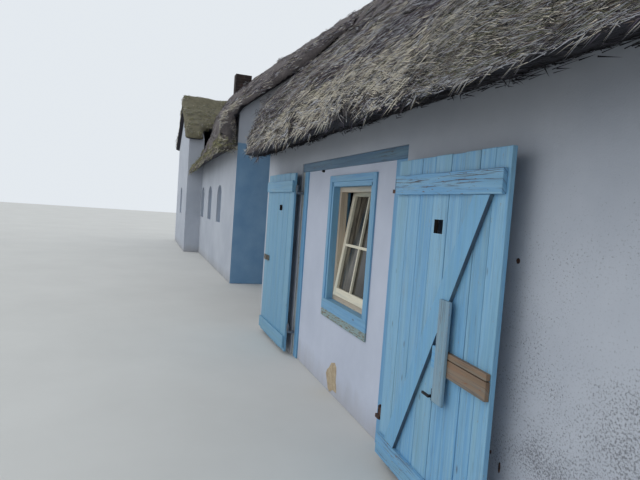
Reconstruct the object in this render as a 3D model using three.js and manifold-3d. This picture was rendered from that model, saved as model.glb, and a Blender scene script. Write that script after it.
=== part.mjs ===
// A long thatched cottage of limewashed masonry, built as separate pieces.
//
// The near block holds a wide doorway with two boarded leaves, later filled in
// with a panel and a window. A covered recess joins it to the next block, which
// ends in a cross wing. All sizes are in millimetres.
//
// Layout axes: X runs along the front and grows toward the near end, Y runs into
// the house from the face of the near front wall, Z is up from the ground. The
// finished house is shifted so that the origin is under the middle of its box.

import * as THREE from 'three';
import { mergeVertices } from 'three/addons/utils/BufferGeometryUtils.js';
import Module from 'manifold-3d';

const wasm = await Module();
wasm.setup();

// Driving dimensions.
const GAP = 0.3;
const WALL = 350;

// Near block, with the covered recess behind its left corner.
const NEAR_LEFT = -1464;
const NEAR_RIGHT = 5600;
const NEAR_DEPTH = 4800;
const NEAR_WALL_TOP = 2130;
const NEAR_PITCH = 1.03;
const RECESS_Y = 1300;
const FLOOR_TOP = 90;

// Next block.
const NEXT_LEFT = -10550;
const NEXT_RIGHT = -4550;
const NEXT_FRONT = 100;
const NEXT_BACK = 5700;
const NEXT_WALL_TOP = 2500;
const NEXT_PITCH = 0.96;
const GABLE_RISE = 655;
const GABLE_PITCH = 0.79;
const VERGE = 300;

// Cross wing.
const WING_LEFT = -14200;
const WING_FRONT = -310;
const WING_BACK = 5700;
const WING_WALL_TOP = 3180;
const WING_PITCH = 0.58;
const WING_THATCH = 330;
const WING_EAVE = 190;

// Doorway in the near front wall, with its frame.
const OPENING_RIGHT = 2196;
const LINTEL_BOTTOM = 1838;
const LINTEL_TOP = 1919;
const POST = 165;
const FRAME_FACE = 10;
const FRAME_BACK = 150;
const PANEL_FACE = 25;
const PANEL_BACK = 175;

// Window in the panel.
const CASING_LEFT = 796;
const CASING_RIGHT = 1741;
const CASING_BOTTOM = 583;
const CASING_TOP = 1774;
const CASING_WIDTH = 90;
const CASING_FACE = 11;
const CASING_SILL = 150;
const LINER = 20;
const INNER_FRAME = 42;
const SASH_RAIL = 52;
const SASH_DEPTH = 38;
const SASH_TILT = THREE.MathUtils.degToRad(8);
const SASH_FACE = 60;
const SASH_RISE = 29;

// Leaves, given from their hinge axis: x toward the free edge, y toward the wall.
const HINGE_Y = -58;
const BOARD = 24;
const LEDGE = 22;
const BATTEN = 16;
const RIGHT_LEAF = { side: 1, axis: 2205, from: 60, to: 1100, foot: 45, head: 1805, ajar: 2 };
const LEFT_LEAF = { side: -1, axis: 50, from: 14, to: 1040, foot: 30, head: 1832, ajar: 1 };
const HINGE_HEIGHTS = [250, 1640];
const PIN = 7;
const EYE = 13;

// Small arched windows.
const ARCH_WIDTH = 640;
const ARCH_SILL = 1030;
const ARCH_SPRING = 1640;
const ARCH_RISE = 200;

const CHIMNEY = { x0: -10535, x1: -10215, y0: 880, y1: 1330, foot: 3250, head: 5130 };

// Colours.
const LIMEWASH = { color: 0xc9ccd2, roughness: 0.9, metalness: 0 };
const BLUE_WALL = { color: 0x6f93bd, roughness: 0.85, metalness: 0 };
const BLUE_WOOD = { color: 0x7fb0d8, roughness: 0.65, metalness: 0 };
const DARK_BLUE = { color: 0x4f7396, roughness: 0.6, metalness: 0 };
const CREAM_WOOD = { color: 0xe6e2d2, roughness: 0.5, metalness: 0 };
const BARE_WOOD = { color: 0x8a7157, roughness: 0.8, metalness: 0 };
const THATCH = { color: 0x6d6052, roughness: 0.98, metalness: 0 };
const IRON = { color: 0x2c2a2a, roughness: 0.6, metalness: 0.7 };
const GLASS = { color: 0x39434a, roughness: 0.08, metalness: 0 };
const BRICK = { color: 0x4a3833, roughness: 0.95, metalness: 0 };
const EARTH_FLOOR = { color: 0x8d8478, roughness: 0.95, metalness: 0 };

const house = new THREE.Group();

// Shape helpers.
function toSolid(geometry) {
  const plain = geometry.index ? geometry.toNonIndexed() : geometry.clone();
  plain.deleteAttribute('normal');
  plain.deleteAttribute('uv');
  const merged = mergeVertices(plain, 1e-3);
  const vertProperties = new Float32Array(merged.attributes.position.array);
  const triVerts = new Uint32Array(merged.index.array);
  return new wasm.Manifold(new wasm.Mesh({ numProp: 3, vertProperties, triVerts }));
}

function toGeometry(solid) {
  const mesh = solid.getMesh();
  const geometry = new THREE.BufferGeometry();
  const points = new Float32Array(mesh.vertProperties);
  geometry.setAttribute('position', new THREE.BufferAttribute(points, 3));
  geometry.setIndex(new THREE.BufferAttribute(new Uint32Array(mesh.triVerts), 1));
  geometry.computeVertexNormals();
  return geometry;
}

function join(...parts) {
  let solid = toSolid(parts[0]);
  for (const part of parts.slice(1)) {
    solid = solid.add(toSolid(part));
  }
  return toGeometry(solid);
}

function cut(body, ...tools) {
  let solid = toSolid(body);
  for (const tool of tools) {
    solid = solid.subtract(toSolid(tool));
  }
  return toGeometry(solid);
}

function common(body, limit) {
  return toGeometry(toSolid(body).intersect(toSolid(limit)));
}

function box(x0, x1, y0, y1, z0, z1) {
  const geometry = new THREE.BoxGeometry(x1 - x0, y1 - y0, z1 - z0);
  geometry.translate((x0 + x1) / 2, (y0 + y1) / 2, (z0 + z1) / 2);
  return geometry;
}

function outline(points) {
  return new THREE.Shape(points.map(([u, v]) => new THREE.Vector2(u, v)));
}

// Extrudes a (y, z) outline along X.
function alongX(points, x0, x1) {
  const geometry = new THREE.ExtrudeGeometry(outline(points), { depth: x1 - x0, bevelEnabled: false });
  return layAlongX(geometry, x0);
}

function layAlongX(geometry, x0) {
  const turn = new THREE.Matrix4().makeBasis(
    new THREE.Vector3(0, 1, 0), new THREE.Vector3(0, 0, 1), new THREE.Vector3(1, 0, 0));
  geometry.applyMatrix4(turn);
  geometry.translate(x0, 0, 0);
  return geometry;
}

// Extrudes an (x, z) outline along Y.
function alongY(shape, y0, y1) {
  const settings = { depth: y1 - y0, bevelEnabled: false, curveSegments: 8 };
  const geometry = new THREE.ExtrudeGeometry(shape, settings);
  geometry.rotateX(Math.PI / 2);
  geometry.translate(0, y1, 0);
  return geometry;
}

// Extrudes an (x, y) outline upward.
function upward(points, z0, z1) {
  const geometry = new THREE.ExtrudeGeometry(outline(points), { depth: z1 - z0, bevelEnabled: false });
  geometry.translate(0, 0, z0);
  return geometry;
}

function ring(x0, x1, z0, z1, side, bottom, y0, y1) {
  const outer = box(x0, x1, y0, y1, z0, z1);
  const inner = box(x0 + side, x1 - side, y0 - 10, y1 + 10, z0 + bottom, z1 - side);
  return cut(outer, inner);
}

// Extrudes a (y, z) outline along X in even steps. place() then sets each outline point at each step.
function inStepsAlongX(points, x0, x1, steps, place) {
  const long = x1 - x0;
  const geometry = new THREE.ExtrudeGeometry(outline(points), { depth: long, steps, bevelEnabled: false });
  const at = geometry.attributes.position;
  for (let i = 0; i < at.count; i += 1) {
    const k = points.findIndex(([y, z]) => Math.hypot(at.getX(i) - y, at.getY(i) - z) < 0.1);
    const step = Math.round(at.getZ(i) / long * steps);
    at.setXY(i, ...place(k, step));
  }
  return layAlongX(geometry, x0);
}

function add(name, geometry, look, parent = house) {
  const mesh = new THREE.Mesh(geometry, new THREE.MeshStandardMaterial(look));
  mesh.name = name;
  parent.add(mesh);
  return mesh;
}

// Roof lines: height of the thatch's underside over each block.
function nearUnder(y) {
  const fromEave = Math.min(y, NEAR_DEPTH - y);
  return NEAR_WALL_TOP + fromEave * NEAR_PITCH;
}

function nextUnder(y) {
  const fromEave = Math.min(y - NEXT_FRONT, NEXT_BACK - y);
  return NEXT_WALL_TOP + fromEave * NEXT_PITCH;
}

// The next block's near gable rises above its other walls, and the thatch lies thinner on it.
function gableTop(y) {
  const fromEave = Math.min(y - NEXT_FRONT, NEXT_BACK - y);
  return NEXT_WALL_TOP + GABLE_RISE + fromEave * GABLE_PITCH;
}

function wingUnder(x) {
  const fromEave = Math.min(x - WING_LEFT, NEXT_LEFT + WALL - x);
  return WING_WALL_TOP + fromEave * WING_PITCH;
}

// A wall band running along X, its top cut to the slope of the thatch.
function bandAlongX(x0, x1, y0, y1, z0, under) {
  const points = [[y0, z0], [y1, z0], [y1, under(y1) - GAP], [y0, under(y0) - GAP]];
  return alongX(points, x0, x1);
}

// An end wall running along Y, with its gable.
function gableAlongY(x0, x1, y0, y1, ridgeY, under) {
  const points = [
    [y0, 0], [y1, 0], [y1, under(y1) - GAP], [ridgeY, under(ridgeY) - GAP], [y0, under(y0) - GAP]];
  return alongX(points, x0, x1);
}

// Arched windows.
function archShape(width, sill, spring, rise, middle) {
  const shape = new THREE.Shape();
  shape.moveTo(middle - width / 2, sill);
  shape.lineTo(middle + width / 2, sill);
  shape.lineTo(middle + width / 2, spring);
  shape.absellipse(middle, spring, width / 2, rise, 0, Math.PI, false);
  shape.closePath();
  return shape;
}

function archHole(middle, y0, y1) {
  return alongY(archShape(ARCH_WIDTH, ARCH_SILL, ARCH_SPRING, ARCH_RISE, middle), y0, y1);
}

// The frame of a small window, set in its arched opening.
function archWindow(name, middle, y0, y1) {
  const outer = archShape(ARCH_WIDTH - 2 * GAP, ARCH_SILL + GAP, ARCH_SPRING, ARCH_RISE - GAP, middle);
  const inner = archShape(ARCH_WIDTH - 110, ARCH_SILL + 60, ARCH_SPRING, ARCH_RISE - 55, middle);
  add(name, cut(alongY(outer, y0, y1), alongY(inner, y0 - 10, y1 + 10)), BLUE_WOOD);
}

// Near block.
function buildNearWalls() {
  add('near_front_wall_left', bandAlongX(NEAR_LEFT, -GAP, 0, WALL, 0, nearUnder), LIMEWASH);
  const right = bandAlongX(OPENING_RIGHT + GAP, NEAR_RIGHT, 0, WALL, 0, nearUnder);
  add('near_front_wall_right', right, LIMEWASH);
  const over = bandAlongX(0, OPENING_RIGHT, 0, WALL, LINTEL_TOP + GAP, nearUnder);
  add('near_front_wall_over_doorway', over, LIMEWASH);

  const endIn = WALL + GAP;
  const endOut = NEAR_DEPTH - WALL - GAP;
  const rightEnd = gableAlongY(NEAR_RIGHT - WALL, NEAR_RIGHT, endIn, endOut, NEAR_DEPTH / 2, nearUnder);
  add('near_right_end_wall', rightEnd, LIMEWASH);

  const side = bandAlongX(NEAR_LEFT, NEAR_LEFT + WALL, endIn, RECESS_Y + WALL, 0, nearUnder);
  const back = bandAlongX(NEXT_RIGHT + GAP, NEAR_LEFT + WALL, RECESS_Y, RECESS_Y + WALL, 0, nearUnder);
  add('recess_walls', join(side, back), LIMEWASH);

  const rear = bandAlongX(NEXT_RIGHT + GAP, NEAR_RIGHT, NEAR_DEPTH - WALL, NEAR_DEPTH, 0, nearUnder);
  const hole = archHole(1100, NEAR_DEPTH - WALL - 50, NEAR_DEPTH + 50);
  add('near_rear_wall', cut(rear, hole), LIMEWASH);
  archWindow('near_rear_window', 1100, NEAR_DEPTH - 150, NEAR_DEPTH - 90);
}

function buildNearFloor() {
  const inner = WALL + GAP;
  const back = NEAR_DEPTH - WALL - GAP;
  const points = [
    [NEAR_LEFT + WALL + GAP, inner],
    [GAP, inner],
    [GAP, PANEL_BACK + GAP],
    [OPENING_RIGHT - GAP, PANEL_BACK + GAP],
    [OPENING_RIGHT - GAP, inner],
    [NEAR_RIGHT - WALL - GAP, inner],
    [NEAR_RIGHT - WALL - GAP, back],
    [NEXT_RIGHT + GAP, back],
    [NEXT_RIGHT + GAP, RECESS_Y + inner],
    [NEAR_LEFT + WALL + GAP, RECESS_Y + inner],
  ];
  add('near_floor', upward(points, 0, FLOOR_TOP), EARTH_FLOOR);
}

// Doorway frame, panel and window.
function buildDoorFrame() {
  const lintel = box(GAP, OPENING_RIGHT - GAP, FRAME_FACE, FRAME_BACK, LINTEL_BOTTOM, LINTEL_TOP);
  add('lintel', lintel, BLUE_WOOD);
  const top = LINTEL_BOTTOM - GAP;
  add('left_jamb_post', box(GAP, POST, FRAME_FACE, FRAME_BACK, 0, top), BLUE_WOOD);
  const right = box(OPENING_RIGHT - POST, OPENING_RIGHT - GAP, FRAME_FACE, FRAME_BACK, 0, top);
  add('right_jamb_post', right, BLUE_WOOD);

  const panel = box(POST + GAP, OPENING_RIGHT - POST - GAP, PANEL_FACE, PANEL_BACK, 0, top);
  const hole = box(
    CASING_LEFT + CASING_WIDTH - LINER - GAP, CASING_RIGHT - CASING_WIDTH + LINER + GAP,
    PANEL_FACE - 10, PANEL_BACK + 10,
    CASING_BOTTOM + CASING_SILL - LINER - GAP, CASING_TOP - CASING_WIDTH + LINER + GAP);
  add('infill_panel', cut(panel, hole), LIMEWASH);
}

function buildWindow() {
  const left = CASING_LEFT + CASING_WIDTH;
  const right = CASING_RIGHT - CASING_WIDTH;
  const foot = CASING_BOTTOM + CASING_SILL;
  const head = CASING_TOP - CASING_WIDTH;
  const face = ring(
    CASING_LEFT, CASING_RIGHT, CASING_BOTTOM, CASING_TOP,
    CASING_WIDTH, CASING_SILL, CASING_FACE, PANEL_FACE - GAP);
  const liner = ring(
    left - LINER, right + LINER, foot - LINER, head + LINER, LINER, LINER, CASING_FACE + 6, PANEL_BACK);
  add('window_casing', join(face, liner), BLUE_WOOD);

  const fx0 = left + GAP;
  const fx1 = right - GAP;
  const fz0 = foot + GAP;
  const fz1 = head - GAP;
  add('window_inner_frame', ring(fx0, fx1, fz0, fz1, INNER_FRAME, INNER_FRAME, 75, 135), CREAM_WOOD);

  buildSash(fx0 + INNER_FRAME + 2, fx1 - INNER_FRAME - 2, fz0 + INNER_FRAME + GAP, fz1 - INNER_FRAME + SASH_RISE);
}

// The sash leans inward and stands on the frame's bottom bar, and its top is behind the head bar.
function buildSash(x0, x1, foot, head) {
  const sash = new THREE.Group();
  sash.position.set((x0 + x1) / 2, SASH_FACE, foot + SASH_DEPTH * Math.sin(SASH_TILT));
  sash.rotation.x = -SASH_TILT;
  house.add(sash);

  const half = (x1 - x0) / 2;
  const tall = head - foot;
  const rim = ring(-half, half, 0, tall, SASH_RAIL, SASH_RAIL + 14, 0, SASH_DEPTH);
  const upright = box(-11, 11, 0, 22, 30, tall - 30);
  const cross = box(-half + 30, half - 30, 0, 22, tall * 0.47, tall * 0.47 + 22);
  add('window_sash', join(rim, upright, cross), CREAM_WOOD, sash);

  const edge = SASH_RAIL + GAP;
  const pane = box(-half + edge, half - edge, 22 + GAP, 27, SASH_RAIL + 14 + GAP, tall - edge);
  add('window_glass', pane, GLASS, sash);
}

// Leaves.
function openLeaf(leaf) {
  const group = new THREE.Group();
  group.position.set(leaf.axis, HINGE_Y, 0);
  group.rotation.z = -leaf.side * THREE.MathUtils.degToRad(leaf.ajar);
  house.add(group);
  return group;
}

// A box in leaf measures: x from the axis toward the free edge, y below zero is outward.
function leafBox(leaf, x0, x1, y0, y1, z0, z1) {
  const a = leaf.side * x0;
  const b = leaf.side * x1;
  return box(Math.min(a, b), Math.max(a, b), y0, y1, z0, z1);
}

function eye(z) {
  const outer = new THREE.CylinderGeometry(EYE, EYE, 60, 16);
  outer.rotateX(Math.PI / 2);
  outer.translate(0, 0, z + 32);
  return outer;
}

function pinHole(z) {
  const hole = new THREE.CylinderGeometry(PIN + 1, PIN + 1, 80, 16);
  hole.rotateX(Math.PI / 2);
  hole.translate(0, 0, z + 32);
  return hole;
}

// The slab of upright boards, with the two hinge eyes that carry it.
function boardSlab(leaf, ...holes) {
  let solid = leafBox(leaf, leaf.from, leaf.to, -BOARD, 0, leaf.foot, leaf.head);
  for (const z of HINGE_HEIGHTS) {
    const strap = leafBox(leaf, 0, leaf.from + 5, -9, -3, z + 6, z + 58);
    solid = join(solid, strap, eye(z));
  }
  const holesToCut = HINGE_HEIGHTS.map(pinHole).concat(holes);
  return cut(solid, ...holesToCut);
}

function ledge(leaf, x0, x1, z0, z1) {
  return leafBox(leaf, x0, x1, -BOARD - GAP - LEDGE, -BOARD - GAP, z0, z1);
}

function buildRightLeaf() {
  const leaf = RIGHT_LEAF;
  const group = openLeaf(leaf);
  const spyHole = leafBox(leaf, 520, 606, -BOARD - 10, 10, 1412, 1482);
  add('right_leaf_boards', boardSlab(leaf, spyHole), BLUE_WOOD, group);
  add('right_leaf_top_ledge', ledge(leaf, 72, 1082, 1606, 1714), BLUE_WOOD, group);
  add('right_leaf_bottom_ledge', ledge(leaf, 72, 1086, 62, 186), BLUE_WOOD, group);
  add('right_leaf_middle_ledge_stub', ledge(leaf, 642, 697, 762, 868), BLUE_WOOD, group);
  add('right_leaf_middle_ledge', ledge(leaf, 712, 1094, 752, 868), BARE_WOOD, group);

  const brace = new THREE.Shape([[880, 1604], [1006, 1604], [300, 188], [175, 188]].map(
    ([x, z]) => new THREE.Vector2(x, z)));
  add('right_leaf_brace', alongY(brace, -BOARD - GAP - LEDGE, -BOARD - GAP), BLUE_WOOD, group);

  const face = -BOARD - LEDGE - 2 * GAP;
  add('right_leaf_batten', leafBox(leaf, 700, 792, face - BATTEN, face, 612, 1108), DARK_BLUE, group);
  const skin = -BOARD - GAP;
  const plate = leafBox(leaf, 640, 688, skin - 5, skin, 590, 650);
  const stem = leafBox(leaf, 650, 662, skin - 28, skin - 3, 612, 624);
  const hook = leafBox(leaf, 596, 662, skin - 34, skin - 24, 612, 624);
  add('right_leaf_hook', join(plate, stem, hook), IRON, group);
}

function buildLeftLeaf() {
  const leaf = LEFT_LEAF;
  const group = openLeaf(leaf);
  const peephole = new THREE.CylinderGeometry(33, 33, 60, 14);
  peephole.scale(1.8, 1, 1);
  peephole.translate(leaf.side * 464, -BOARD / 2, 1473);
  add('left_leaf_boards', boardSlab(leaf, peephole), BLUE_WOOD, group);
  add('left_leaf_top_ledge', ledge(leaf, 26, 1026, 1636, 1750), BLUE_WOOD, group);
  add('left_leaf_bottom_ledge', ledge(leaf, 26, 1026, 70, 190), BLUE_WOOD, group);
  const bar = leafBox(leaf, 810, 1036, -BOARD - GAP - 8, -BOARD - GAP, 862, 918);
  const knob = leafBox(leaf, 880, 930, -BOARD - GAP - 20, -BOARD - GAP - 4, 872, 908);
  add('left_leaf_latch', join(bar, knob), IRON, group);
}

// A pin on an arm that is driven into the jamb post, set over toward the doorway.
function pintle(name, leaf, z, inset) {
  const root = leaf.axis - inset;
  const arm = box(root - 8, root + 8, HINGE_Y - 8, FRAME_FACE - GAP, z - 22, z);
  const reach = box(root - 8, leaf.axis + 1, HINGE_Y - 8, HINGE_Y + 8, z - 22, z);
  const seat = new THREE.CylinderGeometry(8, 8, 22, 16);
  seat.rotateX(Math.PI / 2);
  seat.translate(leaf.axis, HINGE_Y, z - 11);
  const pin = new THREE.CylinderGeometry(PIN, PIN, 90, 16);
  pin.rotateX(Math.PI / 2);
  pin.translate(leaf.axis, HINGE_Y, z + 25);
  add(name, join(arm, reach, seat, pin), IRON);
}

function buildPintles() {
  const [low, high] = HINGE_HEIGHTS;
  pintle('left_lower_pintle', LEFT_LEAF, low, 0);
  pintle('left_upper_pintle', LEFT_LEAF, high, 0);
  pintle('right_lower_pintle', RIGHT_LEAF, low, 37);
  pintle('right_upper_pintle', RIGHT_LEAF, high, 37);
}

// Next block.
const FRONT_WINDOWS = [-6570, -8190, -9760];

// A long wall of this block, with its raised end where it meets the gable.
function longWall(y0, y1) {
  const wall = bandAlongX(NEXT_LEFT, NEXT_RIGHT, y0, y1, 0, nextUnder);
  return join(wall, bandAlongX(NEXT_RIGHT - WALL, NEXT_RIGHT, y0, y1, NEXT_WALL_TOP - 500, gableTop));
}

function buildNextWalls() {
  const front = longWall(NEXT_FRONT, NEXT_FRONT + WALL);
  const holes = FRONT_WINDOWS.map((x) => archHole(x, NEXT_FRONT - 50, NEXT_FRONT + WALL + 50));
  add('next_front_wall', cut(front, ...holes), LIMEWASH);
  FRONT_WINDOWS.forEach((x, i) => {
    archWindow(`next_front_window_${i + 1}`, x, NEXT_FRONT + 90, NEXT_FRONT + 150);
  });

  const inner = NEXT_FRONT + WALL + GAP;
  const outer = NEXT_BACK - WALL - GAP;
  const middle = (NEXT_FRONT + NEXT_BACK) / 2;
  const gable = gableAlongY(NEXT_RIGHT - WALL, NEXT_RIGHT, inner, outer, middle, gableTop);
  add('next_gable_wall', gable, BLUE_WALL);

  const far = gableAlongY(NEXT_LEFT, NEXT_LEFT + WALL, inner, outer, middle, nextUnder);
  const c = CHIMNEY;
  const notch = box(c.x0 - GAP, c.x1 + GAP, c.y0 - GAP, c.y1 + GAP, c.foot - GAP, c.head);
  add('next_far_end_wall', cut(far, notch), LIMEWASH);
  add('chimney', box(c.x0, c.x1, c.y0, c.y1, c.foot, c.head), BRICK);

  const rear = longWall(NEXT_BACK - WALL, NEXT_BACK);
  const hole = archHole(-7400, NEXT_BACK - WALL - 50, NEXT_BACK + 50);
  add('next_rear_wall', cut(rear, hole), LIMEWASH);
  archWindow('next_rear_window', -7400, NEXT_BACK - 150, NEXT_BACK - 90);
  const floor = box(NEXT_LEFT + WALL + GAP, NEXT_RIGHT - WALL - GAP, inner, outer, 0, FLOOR_TOP);
  add('next_floor', floor, EARTH_FLOOR);
}

// Cross wing.
function buildWing() {
  const right = NEXT_LEFT + WALL;
  const ridge = (WING_LEFT + right) / 2;
  const gable = (y0, y1) => alongY(outline([
    [WING_LEFT, 0], [right, 0], [right, wingUnder(right) - GAP],
    [ridge, wingUnder(ridge) - GAP], [WING_LEFT, wingUnder(WING_LEFT) - GAP]]), y0, y1);
  const front = gable(WING_FRONT, WING_FRONT + WALL);
  const stub = box(NEXT_LEFT, right, WING_FRONT, NEXT_FRONT - GAP, 0, WING_WALL_TOP - GAP);
  const clear = box(NEXT_LEFT - GAP, right + 100, NEXT_FRONT - GAP, NEXT_FRONT + 500, -10, 9000);
  const hole = archHole(ridge, WING_FRONT - 50, WING_FRONT + WALL + 50);
  const reach = alongY(outline([
    [NEXT_LEFT, WING_WALL_TOP - 400], [right, WING_WALL_TOP - 400], [right, wingUnder(right) - GAP],
    [NEXT_LEFT, wingUnder(NEXT_LEFT) - GAP]]), WING_FRONT, NEXT_FRONT - GAP);
  add('wing_front_wall', cut(join(front, stub, reach), clear, hole), LIMEWASH);
  archWindow('wing_front_window', ridge, WING_FRONT + 90, WING_FRONT + 150);

  const inner = WING_FRONT + WALL + GAP;
  const outer = WING_BACK - WALL - GAP;
  const left = alongY(outline([
    [WING_LEFT, 0], [WING_LEFT + WALL, 0], [WING_LEFT + WALL, wingUnder(WING_LEFT + WALL) - GAP],
    [WING_LEFT, wingUnder(WING_LEFT) - GAP]]), inner, outer);
  add('wing_far_wall', left, LIMEWASH);
  const rear = gable(WING_BACK - WALL, WING_BACK);
  const beyond = box(NEXT_LEFT - GAP, right + 100, WING_BACK - 500, WING_BACK + 100, -10, 9000);
  add('wing_rear_wall', cut(rear, beyond), LIMEWASH);
}

// Thatch. The weathered side of a roof, from the eave's underside up to the ridge.
const NEAR_SIDE = [
  [-460, 1985],
  [-500, 2080],
  [-440, 2275],
  [-310, 2485],
  [0, 2820],
  [700, 3541],
  [1400, 4262],
  [2140, 5024],
  [2115, 5034],
  [2290, 5332],
  [2400, 5362],
];

// The next block's roof is thick over its near gable. At its far end the eave is lower and the back fuller.
// Each line has the near end's (y, z) and the far end's.
const NEXT_SIDE = [
  [[-250, 2330], [-250, 2150]],
  [[-300, 2420], [-300, 2240]],
  [[-260, 2620], [-240, 2400]],
  [[-290, 2850], [20, 2660]],
  [[-280, 3050], [270, 3300]],
  [[-20, 3280], [420, 4000]],
  [[490, 3720], [750, 4520]],
  [[1350, 4480], [1350, 5120]],
  [[2200, 5220], [2200, 5840]],
  [[2600, 5570], [2600, 6120]],
  [[2620, 5620], [2620, 6170]],
  [[2790, 5750], [2790, 6270]],
  [[2900, 5810], [2900, 6340]],
];

// Old thatch settles into soft hollows, one pitch apart and staggered from row to row.
const HOLLOW_PITCH = 577;
const HOLLOW = 32;

// A roof is made this much too long at both ends, and then cut off square.
const TRIM = 50;

// A whole roof section: one side, its mirror image and the underside below them.
function roofSection(side, middle, under) {
  const other = side.slice(0, -1).reverse().map(([y, z]) => [2 * middle - y, z]);
  return side.concat(other, under).reverse();
}

// Extrudes a roof whose side is given at its left and right ends, with hollows in the thatch.
function hollowedRoof(sideOf, x0, x1, middle, under) {
  const steps = Math.round((x1 - x0) / HOLLOW_PITCH);
  const count = sideOf(0).length;
  const place = (k, step) => {
    const section = roofSection(sideOf(step / steps), middle, under);
    const [y, z] = section[k];
    const row = Math.min(section.length - 1 - k, k - under.length);
    const onSlope = row > 1 && row < count - 3;
    if (!onSlope || (step + row) % 2 === 0) {
      return [y, z];
    }
    return [y + Math.sign(middle - y) * HOLLOW, z - HOLLOW];
  };
  return inStepsAlongX(roofSection(sideOf(0.5), middle, under), x0, x1, steps, place);
}

// The near roof reaches over the recess to the next block. Its plan has rounded corners,
// and its left end runs back in a long slant from the brow over the recess.
function nearRoof() {
  const x1 = NEAR_RIGHT + VERGE;
  const middle = NEAR_DEPTH / 2;
  const under = [[NEAR_DEPTH, NEAR_WALL_TOP], [middle, nearUnder(middle)], [0, NEAR_WALL_TOP]];
  const body = hollowedRoof(() => NEAR_SIDE, NEXT_RIGHT - TRIM, x1 + TRIM, middle, under);
  const plan = [
    [-720, -700],
    [x1 - 160, -700],
    [x1 - 160, -500],
    [x1 - 50, -420],
    [x1, -260],
    [x1, NEAR_DEPTH + 260],
    [x1 - 50, NEAR_DEPTH + 420],
    [x1 - 160, NEAR_DEPTH + 500],
    [x1 - 160, NEAR_DEPTH + 700],
    [NEXT_RIGHT + GAP, NEAR_DEPTH + 700],
    [NEXT_RIGHT + GAP, 500],
    [-3510, 260],
    [-2290, 0],
    [-1600, -150],
    [-1000, -310],
    [-780, -430],
  ];
  return common(body, upward(plan, 0, 9000));
}

// What lies under the thin thatch of the raised gable, and in front of it under the verge.
function gableSpace(x0, x1, y0) {
  const middle = (NEXT_FRONT + NEXT_BACK) / 2;
  const y1 = NEXT_FRONT + NEXT_BACK - y0;
  const points = [
    [y0, 1000],
    [y1, 1000],
    [y1, gableTop(y1)],
    [middle, gableTop(middle)],
    [y0, gableTop(y0)],
  ];
  return alongX(points, x0, x1);
}

function nextRoof() {
  const middle = (NEXT_FRONT + NEXT_BACK) / 2;
  const x1 = NEXT_RIGHT + VERGE;
  const under = [[NEXT_BACK, NEXT_WALL_TOP], [middle, nextUnder(middle)], [NEXT_FRONT, NEXT_WALL_TOP]];
  const sideOf = (share) => NEXT_SIDE.map(([near, far]) => [
    far[0] + (near[0] - far[0]) * share,
    far[1] + (near[1] - far[1]) * share,
  ]);
  const rough = hollowedRoof(sideOf, NEXT_LEFT - TRIM, x1 + TRIM, middle, under);
  const body = common(rough, box(NEXT_LEFT, x1, -1000, NEXT_BACK + 1000, 0, 9000));
  const c = CHIMNEY;
  const flue = box(c.x0 - GAP, c.x1 + GAP, c.y0 - GAP, c.y1 + GAP, c.foot, c.head + 900);
  const overWall = gableSpace(NEXT_RIGHT - WALL - GAP, NEXT_RIGHT + GAP, NEXT_FRONT - GAP);
  const overhang = gableSpace(NEXT_RIGHT, x1 + 10, 0);
  return toSolid(cut(body, flue, overWall, overhang));
}

function wingRoof() {
  const right = NEXT_LEFT + WALL;
  const ridge = (WING_LEFT + right) / 2;
  const eave = wingUnder(WING_LEFT);
  const half = ridge - WING_LEFT;
  const top = wingUnder(ridge) + WING_THATCH;
  const one = [
    [WING_LEFT - 150, eave - 60],
    [WING_LEFT - WING_EAVE, eave + 40],
    [WING_LEFT - 110, eave + 260],
    [WING_LEFT + 60, eave + WING_THATCH + 30],
    [ridge - 260, top - 260 * WING_PITCH],
    [ridge - 280, top - 260 * WING_PITCH + 60],
    [ridge - 90, top + 50],
  ];
  const mirror = ([x, z]) => [2 * ridge - x, z];
  const over = one.concat([[ridge, top + 70]], one.slice().reverse().map(mirror));
  const below = [[right, eave], [ridge, eave + half * WING_PITCH], [WING_LEFT, eave]];
  const shape = outline(over.concat(below).reverse());
  return alongY(shape, WING_FRONT - 150, WING_BACK + 150);
}

// The next block's roof stops at its far gable and makes room for the wing's eave.
function clearWing(roof) {
  const right = NEXT_LEFT + WALL;
  const wall = box(NEXT_LEFT - 10, right + GAP, -1000, NEXT_FRONT, 0, 9000);
  const eave = box(right, right + WING_EAVE + GAP, -1000, NEXT_FRONT, WING_WALL_TOP - 60 - GAP, 9000);
  return roof.subtract(toSolid(wall)).subtract(toSolid(eave));
}

function buildRoofs() {
  const near = nearRoof();
  add('near_roof_thatch', near, THATCH);
  // The next roof fits round the near one with a narrow joint on every face.
  let next = clearWing(nextRoof());
  for (const shift of [[0, 0, 0], [0, 0, 0.4], [0, 0, -0.4], [0, -0.4, 0], [0, 0.4, 0], [-0.4, 0, 0]]) {
    next = next.subtract(toSolid(near.clone().translate(...shift)));
  }
  add('next_roof_thatch', toGeometry(next), THATCH);
  const keepOut = box(NEXT_LEFT - GAP, NEXT_RIGHT, NEXT_FRONT - GAP, NEXT_BACK + 600, 0, 9000);
  add('wing_roof_thatch', cut(wingRoof(), keepOut), THATCH);
}

buildNearWalls();
buildNearFloor();
buildDoorFrame();
buildWindow();
buildRightLeaf();
buildLeftLeaf();
buildPintles();
buildNextWalls();
buildWing();
buildRoofs();

// The origin lies on the ground under the middle of the house.
const whole = new THREE.Box3().setFromObject(house, true);
const centre = whole.getCenter(new THREE.Vector3());
const placed = new THREE.Group();
placed.add(house);
house.position.set(-centre.x, -centre.y, -whole.min.z);

export default placed;
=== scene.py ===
# %% [markdown]
# # Dressing a long thatched cottage
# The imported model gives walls, frames, leaves and roofs as plain solids. This lesson
# dresses them: limewash on rough walls, blue paint on old boards, a shaggy reed roof,
# a leaning window. Every new piece sits where its plain solid is, in metres.

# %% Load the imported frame
import math
import random

import bmesh
import bpy
from mathutils import Euler, Matrix, Vector, noise


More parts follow.
